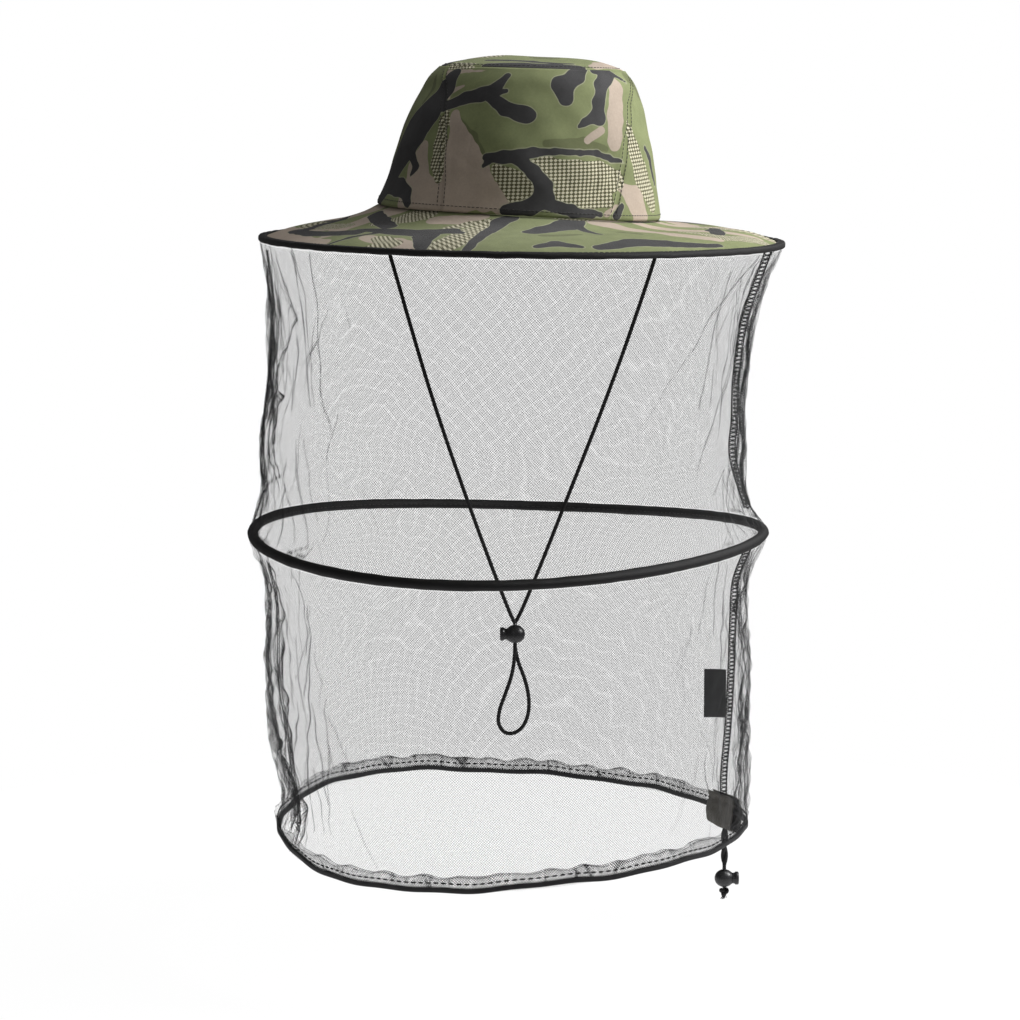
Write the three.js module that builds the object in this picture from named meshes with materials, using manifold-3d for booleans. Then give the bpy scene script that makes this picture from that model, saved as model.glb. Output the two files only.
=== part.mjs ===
// Veiled bucket hat for beekeeping: a cloth hat, a mesh veil held out by one spring hoop,
// a drawcord hem and a chin cord, each with its own ball-shaped cord lock.
// Millimetres, +Z up. The origin is the centre of the head opening, and the wearer faces -Y.
// Azimuths are in degrees, 0 at the front (-Y) and growing towards +X.
import * as THREE from "three";
import { mergeVertices } from "three/addons/utils/BufferGeometryUtils.js";
import Module from "manifold-3d";

const wasm = await Module();
wasm.setup();

// Driving dimensions
const headRadius = 92.5;
const crownTilt = 4.2;
const brimRadius = 175.6;
const brimZ = -20;
const hoopRadius = 176.3;
const hoopZ = -219;
const hemRadius = 159.4;
const hemZ = -421;
const clothThickness = 1;
const netThickness = 0.8;
const cordRadius = 1.1;
const gap = 0.3;
const ringSides = 30;

// How the veil hangs: each level's sideways shift, its rise and fall round the ring,
// and the azimuth where that saddle is highest.
const levels = [
  { z: brimZ, shift: 0, rise: 0, crest: 75 },
  { z: -175, shift: -13, rise: 4, crest: 75 },
  { z: hoopZ, shift: -9, rise: 5, crest: 75 },
  { z: -330, shift: -11, rise: 5.4, crest: 62 },
  { z: hemZ, shift: -6, rise: 5.8, crest: 51 },
];

// Azimuths of the side seams and of the drawcord's exit
const rightSeam = 102.5;
const leftSeam = -73;
const cordExit = 109.5;

// Rings are polygons, turned so that the drawcord's exit is at the middle of a facet. A facet's middle
// lies in from the radius by a fixed share of it.
const facetAngle = 360 / ringSides;
const facetMiddle = cordExit % facetAngle;
const facetInset = Math.cos(Math.PI / ringSides);

const { degToRad, radToDeg, lerp, clamp } = THREE.MathUtils;

// Materials
function material(color, roughness, metalness = 0) {
  return new THREE.MeshStandardMaterial({ color, roughness, metalness });
}
const camouflage = material(0x66723f, 0.9);
const lining = material(0x4c5338, 0.9);
const mesh = material(0x1b1b1b, 0.8);
const tape = material(0x181819, 0.8);
const labelCloth = material(0x141414, 0.6);
const patchCloth = material(0x2e2b26, 0.85);
const cord = material(0x161616, 0.75);
const plastic = material(0x1c1c1e, 0.4);
const steel = material(0x9a9da0, 0.35, 1);

const hat = new THREE.Group();

function add(name, geometry, finish, parent = hat) {
  const piece = new THREE.Mesh(geometry, finish);
  piece.name = name;
  parent.add(piece);
  return piece;
}

// Turns a section of [radius, height] points about Z. A section off the axis closes on itself.
function turned(section, sides = ringSides) {
  const points = section.map(([radius, height]) => new THREE.Vector2(radius, height));
  if (THREE.ShapeUtils.isClockWise(points)) points.reverse();
  if (points[0].x > 0) points.push(points[0].clone());
  const corner = degToRad(facetMiddle - facetAngle / 2);
  return new THREE.LatheGeometry(points, sides).rotateX(Math.PI / 2).rotateZ(corner);
}

// The line at a distance to the left of a line that runs from its first point to its last.
function leftOf(line, distance) {
  return line.map(([radius, height], i) => {
    const before = line[Math.max(i - 1, 0)];
    const after = line[Math.min(i + 1, line.length - 1)];
    const along = new THREE.Vector2(after[0] - before[0], after[1] - before[1]).normalize();
    return [radius - along.y * distance, height + along.x * distance];
  });
}

// A section of even thickness to the left of a line.
function sheet(line, thickness) {
  return [...line, ...leftOf(line, thickness).reverse()];
}

// A round section centred on one radius and height.
function roundSection(radius, height, sectionRadius, sides = 6) {
  const section = [];
  for (let i = 0; i < sides; i += 1) {
    const angle = (2 * Math.PI * i) / sides;
    section.push([radius + sectionRadius * Math.cos(angle), height + sectionRadius * Math.sin(angle)]);
  }
  return section;
}

// A tube along a curve, with flat ends.
function tube(curve, radius, steps, sides = 8) {
  const shape = new THREE.Shape();
  for (let i = 0; i < sides; i += 1) {
    const angle = (2 * Math.PI * i) / sides;
    const corner = [radius * Math.cos(angle), radius * Math.sin(angle)];
    if (i === 0) shape.moveTo(...corner);
    else shape.lineTo(...corner);
  }
  return new THREE.ExtrudeGeometry(shape, { steps, extrudePath: curve, bevelEnabled: false });
}

function smoothCurve(points) {
  return new THREE.CatmullRomCurve3(points.map((point) => new THREE.Vector3(...point)), false, "centripetal");
}

// Boolean cuts
function toSolid(geometry) {
  const plain = geometry.clone();
  plain.deleteAttribute("normal");
  plain.deleteAttribute("uv");
  const merged = mergeVertices(plain, 1e-4);
  const vertProperties = Float32Array.from(merged.attributes.position.array);
  const triVerts = Uint32Array.from(merged.index.array);
  return new wasm.Manifold(new wasm.Mesh({ numProp: 3, vertProperties, triVerts }));
}

function toGeometry(solid) {
  const cut = solid.getMesh();
  const geometry = new THREE.BufferGeometry();
  geometry.setAttribute("position", new THREE.BufferAttribute(cut.vertProperties, cut.numProp));
  geometry.setIndex(new THREE.BufferAttribute(cut.triVerts, 1));
  return geometry;
}

function cutAway(geometry, ...cutters) {
  let solid = toSolid(geometry);
  for (const cutter of cutters) solid = solid.subtract(toSolid(cutter));
  return toGeometry(solid);
}

// Moves each vertex of a geometry by a function of its position.
function reshape(geometry, move) {
  const position = geometry.attributes.position;
  for (let i = 0; i < position.count; i += 1) {
    const point = move(new THREE.Vector3().fromBufferAttribute(position, i));
    position.setXYZ(i, point.x, point.y, point.z);
  }
  return geometry;
}

// Where a point of the evenly hanging veil comes to rest.
function hang(point) {
  const next = levels.findIndex(({ z }, i) => i > 0 && point.z > z);
  const last = next > 0 ? next : levels.length - 1;
  const [above, below] = [levels[last - 1], levels[last]];
  const t = clamp((above.z - point.z) / (above.z - below.z), 0, 1);
  const azimuth = Math.atan2(point.x, -point.y);
  const rise = ({ rise: height, crest }) => height * Math.cos(2 * (azimuth - degToRad(crest)));
  return new THREE.Vector3(
    point.x + lerp(above.shift, below.shift, t),
    point.y,
    point.z + lerp(rise(above), rise(below), t),
  );
}

// A point of the hanging veil from its azimuth, radius and height.
function onVeil(azimuth, radius, z) {
  const angle = degToRad(azimuth);
  return hang(new THREE.Vector3(radius * Math.sin(angle), -radius * Math.cos(angle), z));
}

// Crown: four side panels with open seams between them, and a domed top panel
const crownGroup = new THREE.Group();
crownGroup.rotation.y = degToRad(crownTilt);
hat.add(crownGroup);

const shoulderZ = 92.2;
const shoulderRadius = 60.5;
const panelTurn = 6;
const crownLine = [
  [headRadius, gap],
  [87.6, 26],
  [81.4, 51],
  [72.4, 73.5],
  [shoulderRadius, shoulderZ],
];

function addCrownPanels() {
  const wall = toSolid(turned(sheet(crownLine, clothThickness)));
  const names = ["crown_front_panel", "crown_right_panel", "crown_back_panel", "crown_left_panel"];
  const reach = 200;
  names.forEach((name, i) => {
    const quarter = new THREE.Shape();
    quarter.moveTo(gap / 2, gap / 2);
    quarter.lineTo(reach, gap / 2);
    quarter.lineTo(reach, reach);
    quarter.lineTo(gap / 2, reach);
    const wedge = new THREE.ExtrudeGeometry(quarter, { depth: reach, bevelEnabled: false });
    const middle = panelTurn + 90 * i;
    wedge.translate(0, 0, -reach / 4);
    wedge.rotateZ(degToRad(middle - 90 - 45));
    add(name, toGeometry(wall.intersect(toSolid(wedge))), camouflage, crownGroup);
  });
}
addCrownPanels();

const topFlatRadius = 22;
const topZ = 98.6;
add(
  "crown_top_panel",
  turned([
    [0, topZ + 1.2],
    [topFlatRadius, topZ + 1],
    [46, topZ - 2.4],
    [shoulderRadius - 0.6, shoulderZ + 1.1],
    [shoulderRadius - 1.4, shoulderZ + gap],
    [45.4, topZ - 3.6],
    [topFlatRadius, topZ],
    [0, topZ],
  ]),
  camouflage,
  crownGroup,
);

add(
  "sweatband",
  turned(sheet([[headRadius - 1.5, 0.6], [84, 28]], 0.8)),
  lining,
  crownGroup,
);

// Chin cord tabs, sewn under the seam between crown and brim
const tabSize = new THREE.Vector3(1.4, 9, 10);
const tabX = headRadius - 0.2;
const tabTop = -3.2;
for (const [name, side] of [["chin_anchor_left", -1], ["chin_anchor_right", 1]]) {
  const tab = add(name, new THREE.BoxGeometry(...tabSize.toArray()), tape, crownGroup);
  tab.position.set(side * tabX, 0, tabTop - tabSize.z / 2);
}

// Brim: two plies that flare from the tilted crown seam to the level edge wire
const brimInner = headRadius + 0.4;
const brimOuter = brimRadius - 4.8;
const plyThickness = 0.6;
const plyGap = 0.8;
const brimLine = [
  [brimInner, -2.4],
  [103, -6.6],
  [116, -9.4],
  [131, -11.2],
  [146, -13.6],
  [160, -17],
  [brimOuter, brimZ - 0.9],
];

function levelOut(point) {
  const t = clamp((Math.hypot(point.x, point.y) - brimInner) / (brimOuter - brimInner), 0, 1);
  const lean = degToRad(crownTilt) * (1 - t) ** 3;
  return point.applyAxisAngle(new THREE.Vector3(0, 1, 0), lean);
}

add("brim_lower_ply", reshape(turned(sheet(brimLine, plyThickness)), levelOut), camouflage);
const upperLine = leftOf(brimLine, plyThickness + plyGap);
add("brim_upper_ply", reshape(turned(sheet(upperLine, plyThickness)), levelOut), camouflage);

// A ring of spring wire, and the crimped ferrule that closes it at the middle of one facet
function addWireRing(names, radius, z, wireRadius, azimuth, settle) {
  const ferruleLength = 12;
  const wall = 0.5;
  add(names.wire, settle(turned(roundSection(radius, z, wireRadius))), steel);
  const outline = new THREE.Shape().absarc(0, 0, wireRadius + gap + wall, 0, 2 * Math.PI);
  outline.holes.push(new THREE.Path().absarc(0, 0, wireRadius + gap, 0, 2 * Math.PI, true));
  const sleeve = { depth: ferruleLength, bevelEnabled: false, curveSegments: 8 };
  const ferrule = new THREE.ExtrudeGeometry(outline, sleeve).translate(0, 0, -ferruleLength / 2);
  const facetRadius = radius * facetInset;
  ferrule.rotateX(Math.PI / 2).rotateZ(Math.PI / 2);
  ferrule.translate(0, -facetRadius, z).rotateZ(degToRad(azimuth));
  add(names.ferrule, settle(ferrule), steel);
}

const asMade = (geometry) => geometry;
const asHung = (geometry) => reshape(geometry, hang);
const wireNames = (wire, ferrule) => ({ wire, ferrule });
addWireRing(
  wireNames("brim_edge_wire", "brim_wire_ferrule"),
  brimRadius - 2.5, brimZ, 0.6, 180 + facetMiddle - facetAngle, asMade,
);

// A folded strip: a channel section that is open on one side, with chamfered outer corners
function channel(depth, width, wall) {
  const half = width / 2;
  return [
    [0, -half],
    [depth - wall, -half],
    [depth, -half + wall],
    [depth, half - wall],
    [depth - wall, half],
    [0, half],
    [0, half - wall],
    [depth - wall, half - wall],
    [depth - wall, -half + wall],
    [0, -half + wall],
  ];
}

const bindingDepth = 6.6;
const bindingHeight = 5.4;
const bindingWall = 0.6;
const binding = channel(bindingDepth, bindingHeight, bindingWall).map(([depth, height]) => [
  brimRadius - bindingDepth + depth,
  brimZ + height,
]);
add("brim_edge_binding", turned(binding), tape);

// Hoop: wire in a tube of tape whose slit faces the wearer
const hoopTube = 3.5;
addWireRing(
  wireNames("hoop_wire", "hoop_ferrule"),
  hoopRadius - hoopTube, hoopZ, 1, 180 + facetMiddle, asHung,
);

function slitTube(radius, z, outer, wall, sides) {
  const section = [];
  const slit = degToRad(12);
  const arc = (r, from, to) => {
    for (let i = 0; i <= sides; i += 1) {
      const angle = lerp(from, to, i / sides);
      section.push([radius + r * Math.cos(angle), z + r * Math.sin(angle)]);
    }
  };
  arc(outer, -Math.PI + slit, Math.PI - slit);
  arc(outer - wall, Math.PI - slit, -Math.PI + slit);
  return section;
}
add("hoop_casing", asHung(turned(slitTube(hoopRadius - hoopTube, hoopZ, hoopTube, 0.8, 5))), tape);

// Nets: lines run upwards, and the net's thickness is inside its line
const upperNetLine = [
  [hoopRadius - 3, hoopZ + hoopTube + gap + 0.1],
  [167, hoopZ + 16],
  [164.8, -150],
  [166.8, -80],
  [brimRadius - 2, brimZ - bindingHeight / 2 - gap],
];
const casingTop = hemZ + 12;
const lowerNetLine = [
  [hemRadius + 0.4, casingTop + gap],
  [162.6, -375],
  [165, -310],
  [167, hoopZ - 20],
  [hoopRadius - 3, hoopZ - hoopTube - gap - 0.1],
];

// Each net is two pieces, front and back, that meet at the side seams.
function addNetHalves(name, line) {
  const reach = 2 * brimRadius;
  const wall = toSolid(turned(sheet(line, netThickness)));
  for (const [half, side] of [["front", -1], ["back", 1]]) {
    const block = new THREE.BoxGeometry(2 * reach, reach, 4 * reach);
    block.translate(0, (side * (reach + gap)) / 2, 0);
    block.rotateZ(degToRad(rightSeam - 90));
    add(`${name}_${half}`, asHung(toGeometry(wall.intersect(toSolid(block)))), mesh);
  }
}
addNetHalves("upper_net", upperNetLine);
addNetHalves("lower_net", lowerNetLine);

// Overlocked side seams, rolled to the inside of the nets
const seamRadius = 1.6;
const seamInset = netThickness + seamRadius + 3;

function radiusAt(line, z) {
  const i = line.findIndex(([, height]) => height > z);
  const [radiusBelow, below] = line[i - 1];
  const [radiusAbove, above] = line[i];
  return lerp(radiusBelow, radiusAbove, (z - below) / (above - below));
}

function seamCurve(line, azimuth) {
  const endGap = 4;
  const stretches = 10;
  const bottom = line[0][1] + endGap;
  const top = line[line.length - 1][1] - endGap;
  const points = [];
  for (let i = 0; i <= stretches; i += 1) {
    const z = lerp(bottom, top, i / stretches);
    points.push(onVeil(azimuth, radiusAt(line, z) - seamInset, z).toArray());
  }
  return smoothCurve(points);
}
for (const [side, azimuth] of [["right", rightSeam], ["left", leftSeam]]) {
  add(`upper_net_seam_${side}`, tube(seamCurve(upperNetLine, azimuth), seamRadius, 10, 6), mesh);
  add(`lower_net_seam_${side}`, tube(seamCurve(lowerNetLine, azimuth), seamRadius, 10, 6), mesh);
}

// Care label: a blank flap sewn into the right seam, standing off the net
const labelSize = new THREE.Vector3(15, 0.6, 34);
const labelZ = -336;
const labelSeam = onVeil(rightSeam, radiusAt(lowerNetLine, labelZ) - seamInset, labelZ);
const label = add("care_label", new THREE.BoxGeometry(...labelSize.toArray()), labelCloth);
label.position.copy(labelSeam);
label.position.x -= labelSize.x / 2 + seamRadius + 0.9;

// Hem: a folded channel that holds the drawcord and opens upwards under the net
const channelWidth = 4.6;
const hemWall = 0.8;
const exitHalf = 8;
const drawcordZ = hemZ + hemWall + gap + cordRadius + 0.2;
const exitRadius = hemRadius * facetInset;

// A block at the drawcord's exit: its size along the hem, across it and in height, and its height
function exitBlock(along, across, tall, z) {
  const block = new THREE.BoxGeometry(along, across, tall);
  return block.translate(0, -exitRadius, z).rotateZ(degToRad(cordExit));
}

const hemChannel = channel(casingTop - hemZ, channelWidth, hemWall).map(([depth, width]) => [
  hemRadius + width,
  casingTop - depth,
]);
const exitMouth = exitBlock(2 * exitHalf, channelWidth - 2 * hemWall, 4, hemZ);
add("hem_casing", asHung(cutAway(turned(hemChannel), exitMouth)), tape);
const drawcordRing = turned(roundSection(hemRadius, drawcordZ, cordRadius));
const drawcordGap = exitBlock(2 * exitHalf, 10, 10, drawcordZ);
add("hem_drawcord", asHung(cutAway(drawcordRing, drawcordGap)), cord);

// Exit patch: a doubled piece of cloth folded round the hem, longer below it than the channel
const patchLength = 44;
const patchWall = 0.8;
const patchBottom = hemZ - 13;
const patchTop = hemZ + 12;
const patchWidth = channelWidth + 2 * (patchWall + 0.6);
const patchSection = channel(patchTop - patchBottom, patchWidth, patchWall).map(([depth, width]) => [
  hemRadius + width,
  patchTop - depth,
]);

function addExitPatch() {
  const keep = exitBlock(patchLength, 40, 60, hemZ);
  const slot = exitBlock(6.4, 3.4, 4, patchBottom);
  const folded = toSolid(turned(patchSection)).intersect(toSolid(keep)).subtract(toSolid(slot));
  add("cord_exit_patch", asHung(toGeometry(folded)), patchCloth);
}
addExitPatch();

// Drawcord tails: from the cut ends of the drawcord, down through the patch and the lock to a knot
const exitPoint = onVeil(cordExit, exitRadius, drawcordZ);
const tailSpacing = cordRadius + gap / 2;
const hemLockZ = -472;
const ballRadius = 6.3;
const knotTop = hemLockZ - ballRadius - 0.5;
const tailEnd = knotTop + gap;

function addTail(name, side) {
  const beside = (distance, drop) => {
    const azimuth = cordExit + side * radToDeg(Math.atan2(distance, exitRadius));
    return onVeil(azimuth, Math.hypot(exitRadius, distance), drawcordZ - drop).toArray();
  };
  const below = (z) => [exitPoint.x, exitPoint.y + side * tailSpacing, z];
  const route = smoothCurve([
    beside(exitHalf - gap, 0),
    beside(5, 0.7),
    beside(2.6, 3.4),
    beside(tailSpacing + 0.1, 7.5),
    below(exitPoint.z - 14),
    below(hemLockZ + 10),
    below(hemLockZ),
    below(tailEnd),
  ]);
  add(name, tube(route, cordRadius, 18), cord);
}
addTail("hem_cord_tail_front", -1);
addTail("hem_cord_tail_back", 1);

const knot = turned([
  [0, 0],
  [2.4, -0.2],
  [3.4, -2],
  [3, -4.4],
  [1.8, -5.6],
  [2.3, -8.2],
  [0, -8.2],
], 8);
add("hem_cord_knot", knot, cord).position.set(exitPoint.x, exitPoint.y, knotTop);

// Ball lock: a ball with a plunger bore across it and a cord hole down through it.
// Made with the button on the +X side; pressing moves the button towards -X by the travel.
const travel = 2;
const ballStretch = 1.08;
const plungerRadius = 3.8;
const plungerBack = -(cordRadius + gap + 0.7);
const slotWidth = 4 * cordRadius + 3 * gap;
const slotLength = 2 * (cordRadius + gap) + travel;
const boreBack = plungerBack - travel - 0.2;
const springRadius = 2.6;
const springBack = boreBack - 1;
const throughBall = 20;
const boreMouth = throughBall / 2;
const buttonHead = { radius: 4.5, underside: 7.5, face: 10.2 };

function rodAlongX(radius, from, to, sides = 16) {
  const rod = new THREE.CylinderGeometry(radius, radius, to - from, sides);
  return rod.rotateZ(Math.PI / 2).translate((from + to) / 2, 0, 0);
}

function ballBody() {
  const ball = new THREE.SphereGeometry(ballRadius, 20, 12).scale(ballStretch, 1, 1);
  const bore = rodAlongX(plungerRadius + gap, boreBack, boreMouth);
  const springBore = rodAlongX(springRadius + 0.5, springBack, boreMouth);
  const cordHole = new THREE.BoxGeometry(2 * (cordRadius + gap), slotWidth, throughBall);
  return cutAway(ball, bore, springBore, cordHole);
}

function ballButton() {
  const { radius, underside, face } = buttonHead;
  const stem = toSolid(rodAlongX(plungerRadius, plungerBack, underside + gap));
  const head = toSolid(rodAlongX(radius, underside, face));
  const slot = new THREE.BoxGeometry(slotLength, slotWidth, throughBall);
  slot.translate(slotLength / 2 - cordRadius - gap, 0, 0);
  return toGeometry(stem.add(head).subtract(toSolid(slot)));
}

function ballSpring() {
  const turns = 2.5;
  const wireRadius = 0.15;
  const from = springBack + wireRadius + 0.15;
  const to = plungerBack - wireRadius - 0.15;
  const points = [];
  const steps = Math.round(turns * 8);
  for (let i = 0; i <= steps; i += 1) {
    const angle = (2 * Math.PI * turns * i) / steps;
    const x = lerp(from, to, i / steps);
    points.push([x, (springRadius - wireRadius) * Math.cos(angle), (springRadius - wireRadius) * Math.sin(angle)]);
  }
  return tube(smoothCurve(points), wireRadius, steps, 5);
}

function addLock(prefix, position, facing) {
  const lock = new THREE.Group();
  lock.position.set(...position);
  lock.rotation.z = facing > 0 ? 0 : Math.PI;
  hat.add(lock);
  add(`${prefix}_body`, ballBody(), plastic, lock);
  add(`${prefix}_button`, ballButton(), plastic, lock);
  add(`${prefix}_spring`, ballSpring(), steel, lock);
}
addLock("hem_lock", [exitPoint.x, exitPoint.y, hemLockZ], 1);

// Chin cord: two straight legs from the tabs to the lock, and a hanging loop below it
const chinLock = [-4.4, 0, -286.7];
addLock("chin_lock", chinLock, -1);
const legEnd = chinLock[2] + ballRadius + 1;
const chinLegs = {
  chin_cord_left: [
    [-93.1, 0, -6.9],
    [-92.4, 0, -12],
    [-81.1, 0, -53],
    [-61.4, 0, -120.7],
    [-41.4, 0, -181],
    [-21.3, -0.6, -237],
    [-8.2, -tailSpacing, -271],
    [chinLock[0], -tailSpacing, legEnd],
  ],
  chin_cord_right: [
    [91.2, 0, -20.4],
    [90.4, 0, -25.6],
    [72.4, 0, -81.9],
    [52.6, 0, -136.9],
    [32.5, 0, -189],
    [12.5, 0.6, -240.4],
    [-0.6, tailSpacing, -272],
    [chinLock[0], tailSpacing, legEnd],
  ],
};
for (const [name, points] of Object.entries(chinLegs)) {
  add(name, tube(smoothCurve(points), cordRadius, 36), cord);
}

const loopTop = legEnd - 1;
const chinLoop = smoothCurve([
  [chinLock[0], -tailSpacing, loopTop],
  [chinLock[0], -tailSpacing, -286.7],
  [chinLock[0], -tailSpacing, -295],
  [-5, -1.3, -305],
  [-7, -1.2, -316],
  [-11, -1, -328],
  [-15, -0.6, -340],
  [-15.4, 0, -349],
  [-11.2, 0, -354.9],
  [-5, 0, -355.3],
  [1, 0, -350.6],
  [4.6, 0.3, -341.5],
  [4.8, 0.7, -330],
  [2, 1, -317.5],
  [-2.2, 1.3, -306],
  [chinLock[0], tailSpacing, -295],
  [chinLock[0], tailSpacing, -286.7],
  [chinLock[0], tailSpacing, loopTop],
]);
add("chin_cord_loop", tube(chinLoop, cordRadius, 36), cord);

export default hat;
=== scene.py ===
"""The looks of a veiled bucket hat for beekeeping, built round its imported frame.

The frame is in metres, +Z up, with its origin at the centre of the head opening, and the wearer faces -Y.
Sizes here are in millimetres unless a name says otherwise, and MM turns them into metres. Azimuths are in
degrees, 0 at the front and growing towards +X.
"""
import math

import bmesh
import bpy
import numpy as np
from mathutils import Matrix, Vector


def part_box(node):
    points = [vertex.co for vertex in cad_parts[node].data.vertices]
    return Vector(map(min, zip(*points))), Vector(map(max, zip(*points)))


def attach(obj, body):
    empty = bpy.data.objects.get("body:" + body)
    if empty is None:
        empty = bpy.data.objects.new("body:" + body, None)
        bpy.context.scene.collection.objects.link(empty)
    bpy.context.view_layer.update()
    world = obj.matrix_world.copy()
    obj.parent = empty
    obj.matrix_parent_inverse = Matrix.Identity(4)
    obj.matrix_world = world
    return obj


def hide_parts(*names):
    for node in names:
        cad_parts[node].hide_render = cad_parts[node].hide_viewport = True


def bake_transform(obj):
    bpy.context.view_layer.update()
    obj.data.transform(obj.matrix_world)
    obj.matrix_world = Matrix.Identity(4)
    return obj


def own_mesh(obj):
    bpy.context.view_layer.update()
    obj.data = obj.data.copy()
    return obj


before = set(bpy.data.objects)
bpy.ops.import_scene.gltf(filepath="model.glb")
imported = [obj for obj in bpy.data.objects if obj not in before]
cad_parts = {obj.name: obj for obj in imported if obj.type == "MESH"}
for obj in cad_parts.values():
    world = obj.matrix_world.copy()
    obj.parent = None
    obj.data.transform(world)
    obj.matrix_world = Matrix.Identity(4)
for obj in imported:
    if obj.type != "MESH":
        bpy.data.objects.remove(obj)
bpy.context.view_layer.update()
MM = 0.001


def box_mm(node):
    """The lowest and highest corners of a CAD node, in millimetres."""
    low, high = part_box(node)
    return np.array(low) / MM, np.array(high) / MM


# Driving dimensions, as the CAD model has them
CROWN_TILT = math.radians(4.2)
BRIM_RADIUS = box_mm("brim_edge_binding")[1][1]
BRIM_DIP = 0.0128
BRIM_Z = -20
HOOP_RADIUS = box_mm("hoop_casing")[1][1]
HOOP_Z = -219
HEM_RADIUS = 159.4
HEM_Z = -421
CASING_TOP = HEM_Z + 12
CORD_EXIT = 109.5
CORD_RADIUS = 1.1
TAIL_SPACING = CORD_RADIUS + 0.15
LOCK_RADIUS = 6.3
TURN = 2 * np.pi
NET_RADIUS = 167
CLOTH_THICKNESS = 0.9
HAT_STITCH = (2.1, 0.8, 0.5)  # length, gap and width of each stitch
CROWN_RUN = 98  # length up the cloth from the crown's foot to its top
SHEAR_MIDDLE = 6  # X where the crown's shear lifts nothing

# How the veil hangs at each level: height, sideways shift, rise and fall round the ring, azimuth of the crest
HANG_LEVELS = [
    (BRIM_Z, 0, 0, 75),
    (-175, -13, 4, 75),
    (HOOP_Z, -9, 5, 75),
    (-330, -11, 5.4, 62),
    (HEM_Z, -6, 5.8, 51),
]
CROWN_LINE = [(92.5, 0.3), (87.6, 26), (81.4, 51), (72.8, 74.5), (66.6, 87), (61, 93.2)]
TOP_LINE = [(0, 101.2), (22, 100.8), (46, 97.8), (56, 95.2), (60.6, 93.4)]
BRIM_LINE = [(91.4, -0.6), (103, -5.2), (116, -8), (131, -9.8), (146, -12.2), (160, -15.6), (170.8, -19.5)]
UPPER_NET_LINE = [(173.3, -215.1), (167, -203), (164.8, -150), (166.8, -80), (173.6, -23)]
LOWER_NET_LINE = [
    (159.4, HEM_Z + 1), (159.8, -408.7), (162.6, -375), (165, -310), (167, -239), (173.3, -222.9),
]


# ---------------------------------------------------------------- shape helpers

def polar(azimuth, radius, z):
    """Points from azimuths in degrees, radii and heights, which are numbers or arrays."""
    angle = np.radians(azimuth)
    x, y, z = np.broadcast_arrays(radius * np.sin(angle), -radius * np.cos(angle), z)
    return np.stack([x, y, z], axis=-1).astype(float)


def dip(points, share=1.0):
    """The brim's edge sits a little lower on its +X side."""
    moved = points.copy()
    moved[..., 2] -= BRIM_DIP * moved[..., 0] * share
    return moved


def hang(points):
    """Where points of the evenly hanging veil come to rest."""
    heights = [level[0] for level in HANG_LEVELS][::-1]
    azimuth = np.arctan2(points[..., 0], -points[..., 1])
    z = points[..., 2]
    moved = points.copy()
    moved[..., 0] += np.interp(z, heights, [level[1] for level in HANG_LEVELS][::-1])
    for i, (_, _, rise, crest) in enumerate(HANG_LEVELS):
        share = np.interp(z, heights, np.eye(len(HANG_LEVELS))[i][::-1])
        moved[..., 2] += share * rise * np.cos(2 * (azimuth - math.radians(crest)))
    return dip(moved, np.clip((z + 100) / 80, 0, 1))


def tilt(points, angle=CROWN_TILT):
    """Turns points about Y by the crown's tilt, or by an array of angles."""
    x, y, z = np.moveaxis(points, -1, 0)
    turned = [x * np.cos(angle) + z * np.sin(angle), y, z * np.cos(angle) - x * np.sin(angle)]
    return np.stack(turned, axis=-1)


def eased(line, at):
    """A smooth curve through (value, position) pairs whose positions grow, read at an array of positions."""
    values, knots = np.array(line, float).T
    slopes = np.gradient(values, knots)
    i = np.clip(np.searchsorted(knots, at) - 1, 0, len(knots) - 2)
    step = knots[i + 1] - knots[i]
    t = np.clip((at - knots[i]) / step, 0, 1)
    return (
        values[i] * (1 + 2 * t) * (1 - t) ** 2
        + slopes[i] * step * t * (1 - t) ** 2
        + values[i + 1] * t * t * (3 - 2 * t)
        - slopes[i + 1] * step * t * t * (1 - t)
    )


def apart(azimuth, middle):
    """How far an azimuth is past a middle one, from -180 to 180 degrees."""
    return (azimuth - middle + 180) % 360 - 180


def bump(distance, width):
    """1 at no distance, falling smoothly to nothing beyond a few widths."""
    return np.exp(-((distance / width) ** 2))


def ripple(points, wavelength, seed, squeeze=(1, 1, 1), count=7):
    """Smooth noise of about -1 to 1 at points: a sum of plane waves in seeded directions."""
    rng = np.random.default_rng(seed)
    total = np.zeros(points.shape[:-1])
    for _ in range(count):
        direction = rng.normal(size=3)
        direction *= np.array(squeeze) / np.linalg.norm(direction)
        length = wavelength * rng.uniform(0.7, 1.5)
        total += np.sin(points @ direction * TURN / length + rng.uniform(0, TURN))
    return total / math.sqrt(count)


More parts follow.
